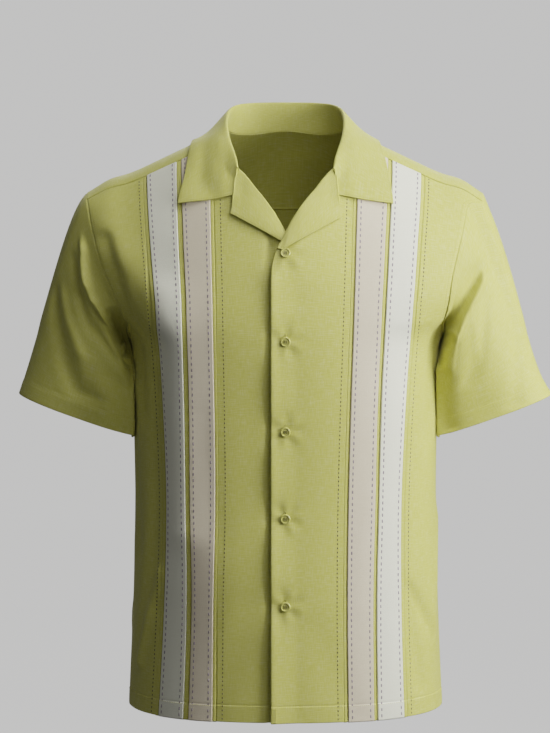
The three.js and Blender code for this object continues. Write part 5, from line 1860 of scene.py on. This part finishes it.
class SHIRT_OT_seams(bpy.types.Operator):
    """Topstitch the hems, armholes, collar and turned-back fronts"""

    bl_idname = "shirt.seams"
    bl_label = "Topstitching"

    def execute(self, context):
        lines = []
        for word in SIDES:
            points, normals, _ = GRIDS["front", word]
            points, normals = points[TURNED:, TURNED:], normals[TURNED:, TURNED:]
            lines.append(hem_line(points, normals))
            lines.append(armhole_part(*line_inside(points, normals, ARMHOLE_STITCHING)))
            for kind in STRIP_LOOKS:
                strip, facing, _ = GRIDS[kind, word]
                lines.append(hem_line(strip[TURNED:, 1:-1], facing[TURNED:, 1:-1]))
            outer, facing = GRIDS["sleeve", word]
            from_cuff = along(outer, 0)[-1:] - along(outer, 0)
            lines.append(line_across(outer[::-1], facing[::-1], from_cuff[::-1], CUFF_STITCHING))
        points, normals, _ = GRIDS["back", ""]
        points, normals = points[TURNED:], normals[TURNED:]
        lines.append(hem_line(points, normals))
        lines.append(armhole_part(*trace(points, normals, along(points, 1), ARMHOLE_STITCHING)))
        lines.append(armhole_part(*line_inside(points, normals, ARMHOLE_STITCHING)))
        piece = stitched("topstitching", lines, "top", 9)
        settle(piece, finish_named("green_thread"), "shirt_cloth")
        self.edges()
        return {"FINISHED"}

    @staticmethod
    def edges():
        """Stitching close inside the edges of the collar and the turned-back fronts."""
        points, normals = GRIDS["collar", ""]
        fall, facing = points[:, FALL_COLUMN:], normals[:, FALL_COLUMN:]
        lines = [line_inside(fall[2:-2], facing[2:-2], EDGE_STITCHING)]
        for flip in (1, -1):
            end, end_facing = fall[::flip, 8:-2], facing[::flip, 8:-2]
            lines.append(line_across(end, end_facing, along(end, 0), EDGE_STITCHING))
        for word in SIDES:
            outer, facing, _ = GRIDS["lapel", word]
            lines.append(line_inside(outer[4:, TURNED:], facing[4:, TURNED:], EDGE_STITCHING))
        piece = stitched("edge_stitching", lines, "top", 10)
        settle(piece, finish_named("green_thread"), "shirt_cloth")


# ------------------------------------------------------------------ stage
CAMERA_DISTANCE = 3.6
CAMERA_ELEVATION = 5.0
CAMERA_X = -0.0128
CAMERA_AIM_Z = -0.2841
CAMERA_LENS = 193.1
STAGE_RADIUS = 12.0
FLOOR_Z = -1.15
BACKDROP_GLOW = 0.73
STUDIO_NAMES = ("key_low", "key_high", "front", "behind")
STUDIO_LIGHTS = Table(
    "number azimuth elevation distance size power",
    (0, 65, 12, 1.5, 0.8, 1),
    (1, 65, 62, 3.0, 1.4, 2),
    (2, 20, 38, 1.5, 0.8, 1),
    (3, 180, 35, 2.4, 1.4, 5),
)


def area_light(name, azimuth, elevation, distance, size, power):
    """A soft square light aimed at the middle of the shirt."""
    aim = Vector((0, 0, -0.3))
    flat = math.cos(elevation * DEG)
    around = azimuth * DEG
    way = Vector((math.sin(around) * flat, -math.cos(around) * flat, math.sin(elevation * DEG)))
    data = bpy.data.lights.new(name, "AREA")
    data.size = size
    data.energy = power
    light = bpy.data.objects.new(name, data)
    light.location = aim + way * distance
    light.rotation_euler = way.to_track_quat("Z", "Y").to_euler()
    bpy.context.collection.objects.link(light)
    return light


class SHIRT_OT_stage(bpy.types.Operator):
    """Set the floor, the surround, the lights and the camera"""

    bl_idname = "shirt.stage"
    bl_label = "Stage"

    def execute(self, context):
        studio = context.scene.shirt_studio
        paper = matt("studio_paper", (0.02, 0.02, 0.02, 1), BACKDROP_GLOW, (1.0, 0.995, 0.985))
        clear_selection()
        bpy.ops.mesh.primitive_uv_sphere_add(
            segments=64, ring_count=32, radius=STAGE_RADIUS, location=(0, 0, 0)
        )
        dome = bpy.context.object
        dome.name = "surround"
        bpy.ops.object.mode_set(mode="EDIT")
        bpy.ops.mesh.select_all(action="SELECT")
        bpy.ops.mesh.flip_normals()
        bpy.ops.object.mode_set(mode="OBJECT")
        clear_selection()
        bpy.ops.mesh.primitive_circle_add(
            vertices=96, radius=STAGE_RADIUS * 0.98, fill_type="NGON", location=(0, 0, FLOOR_Z)
        )
        floor = bpy.context.object
        floor.name = "floor"
        for piece in (dome, floor):
            smooth_faces(piece)
            piece.data.materials.append(paper)
            piece.visible_diffuse = False
            piece.visible_glossy = False
            piece.visible_shadow = False
        for row in STUDIO_LIGHTS.rows():
            name = STUDIO_NAMES[int(row.pop("number"))]
            power = row.pop("power") * (studio.key_power if "key" in name else studio.fill_power)
            area_light(name, power=power, **row)
        world = bpy.data.worlds.new("surround_light")
        world.use_nodes = True
        world.node_tree.nodes["Background"].inputs["Strength"].default_value = studio.surround
        context.scene.world = world
        self.camera(context)
        return {"FINISHED"}

    @staticmethod
    def camera(context):
        data = bpy.data.cameras.new("camera")
        data.lens = CAMERA_LENS
        data.sensor_width = 36
        data.sensor_fit = "HORIZONTAL"
        data.clip_end = 50
        camera = bpy.data.objects.new("camera", data)
        rise = CAMERA_ELEVATION * DEG
        camera.location = (
            CAMERA_X, -CAMERA_DISTANCE * math.cos(rise), CAMERA_AIM_Z + CAMERA_DISTANCE * math.sin(rise)
        )
        camera.rotation_euler = (math.pi / 2 - rise, 0, 0)
        context.collection.objects.link(camera)
        context.scene.camera = camera
        context.scene.view_settings.view_transform = "Filmic"


# ------------------------------------------------------------------ panel and run
class SHIRT_PT_panel(bpy.types.Panel):
    """Sizes, colours and lights of the shirt, and its operators"""

    bl_label = "Bowling Shirt"
    bl_idname = "SHIRT_PT_panel"
    bl_space_type = "VIEW_3D"
    bl_region_type = "UI"
    bl_category = "Shirt"

    def draw(self, context):
        scene = context.scene
        for group in (scene.shirt_cloth, scene.shirt_colours, scene.shirt_studio):
            for name in group.__annotations__:
                self.layout.prop(group, name)
        for operator in OPERATORS:
            self.layout.operator(operator.bl_idname)


OPERATORS = (
    SHIRT_OT_fronts,
    SHIRT_OT_bands,
    SHIRT_OT_back,
    SHIRT_OT_yoke,
    SHIRT_OT_sleeves,
    SHIRT_OT_collar,
    SHIRT_OT_lapels,
    SHIRT_OT_buttons,
    SHIRT_OT_stitches,
    SHIRT_OT_seams,
    SHIRT_OT_stage,
)
GROUPS = {"shirt_cloth": ShirtCloth, "shirt_colours": ShirtColours, "shirt_studio": ShirtStudio}


def register():
    for cls in (*GROUPS.values(), *OPERATORS, SHIRT_PT_panel):
        bpy.utils.register_class(cls)
    for name, group in GROUPS.items():
        setattr(bpy.types.Scene, name, bpy.props.PointerProperty(type=group))


def unregister():
    for name in GROUPS:
        delattr(bpy.types.Scene, name)
    for cls in reversed((*GROUPS.values(), *OPERATORS, SHIRT_PT_panel)):
        bpy.utils.unregister_class(cls)


def main():
    register()
    for operator in OPERATORS:
        group, name = operator.bl_idname.split(".")
        getattr(getattr(bpy.ops, group), name)()


if __name__ == "__main__":
    main()
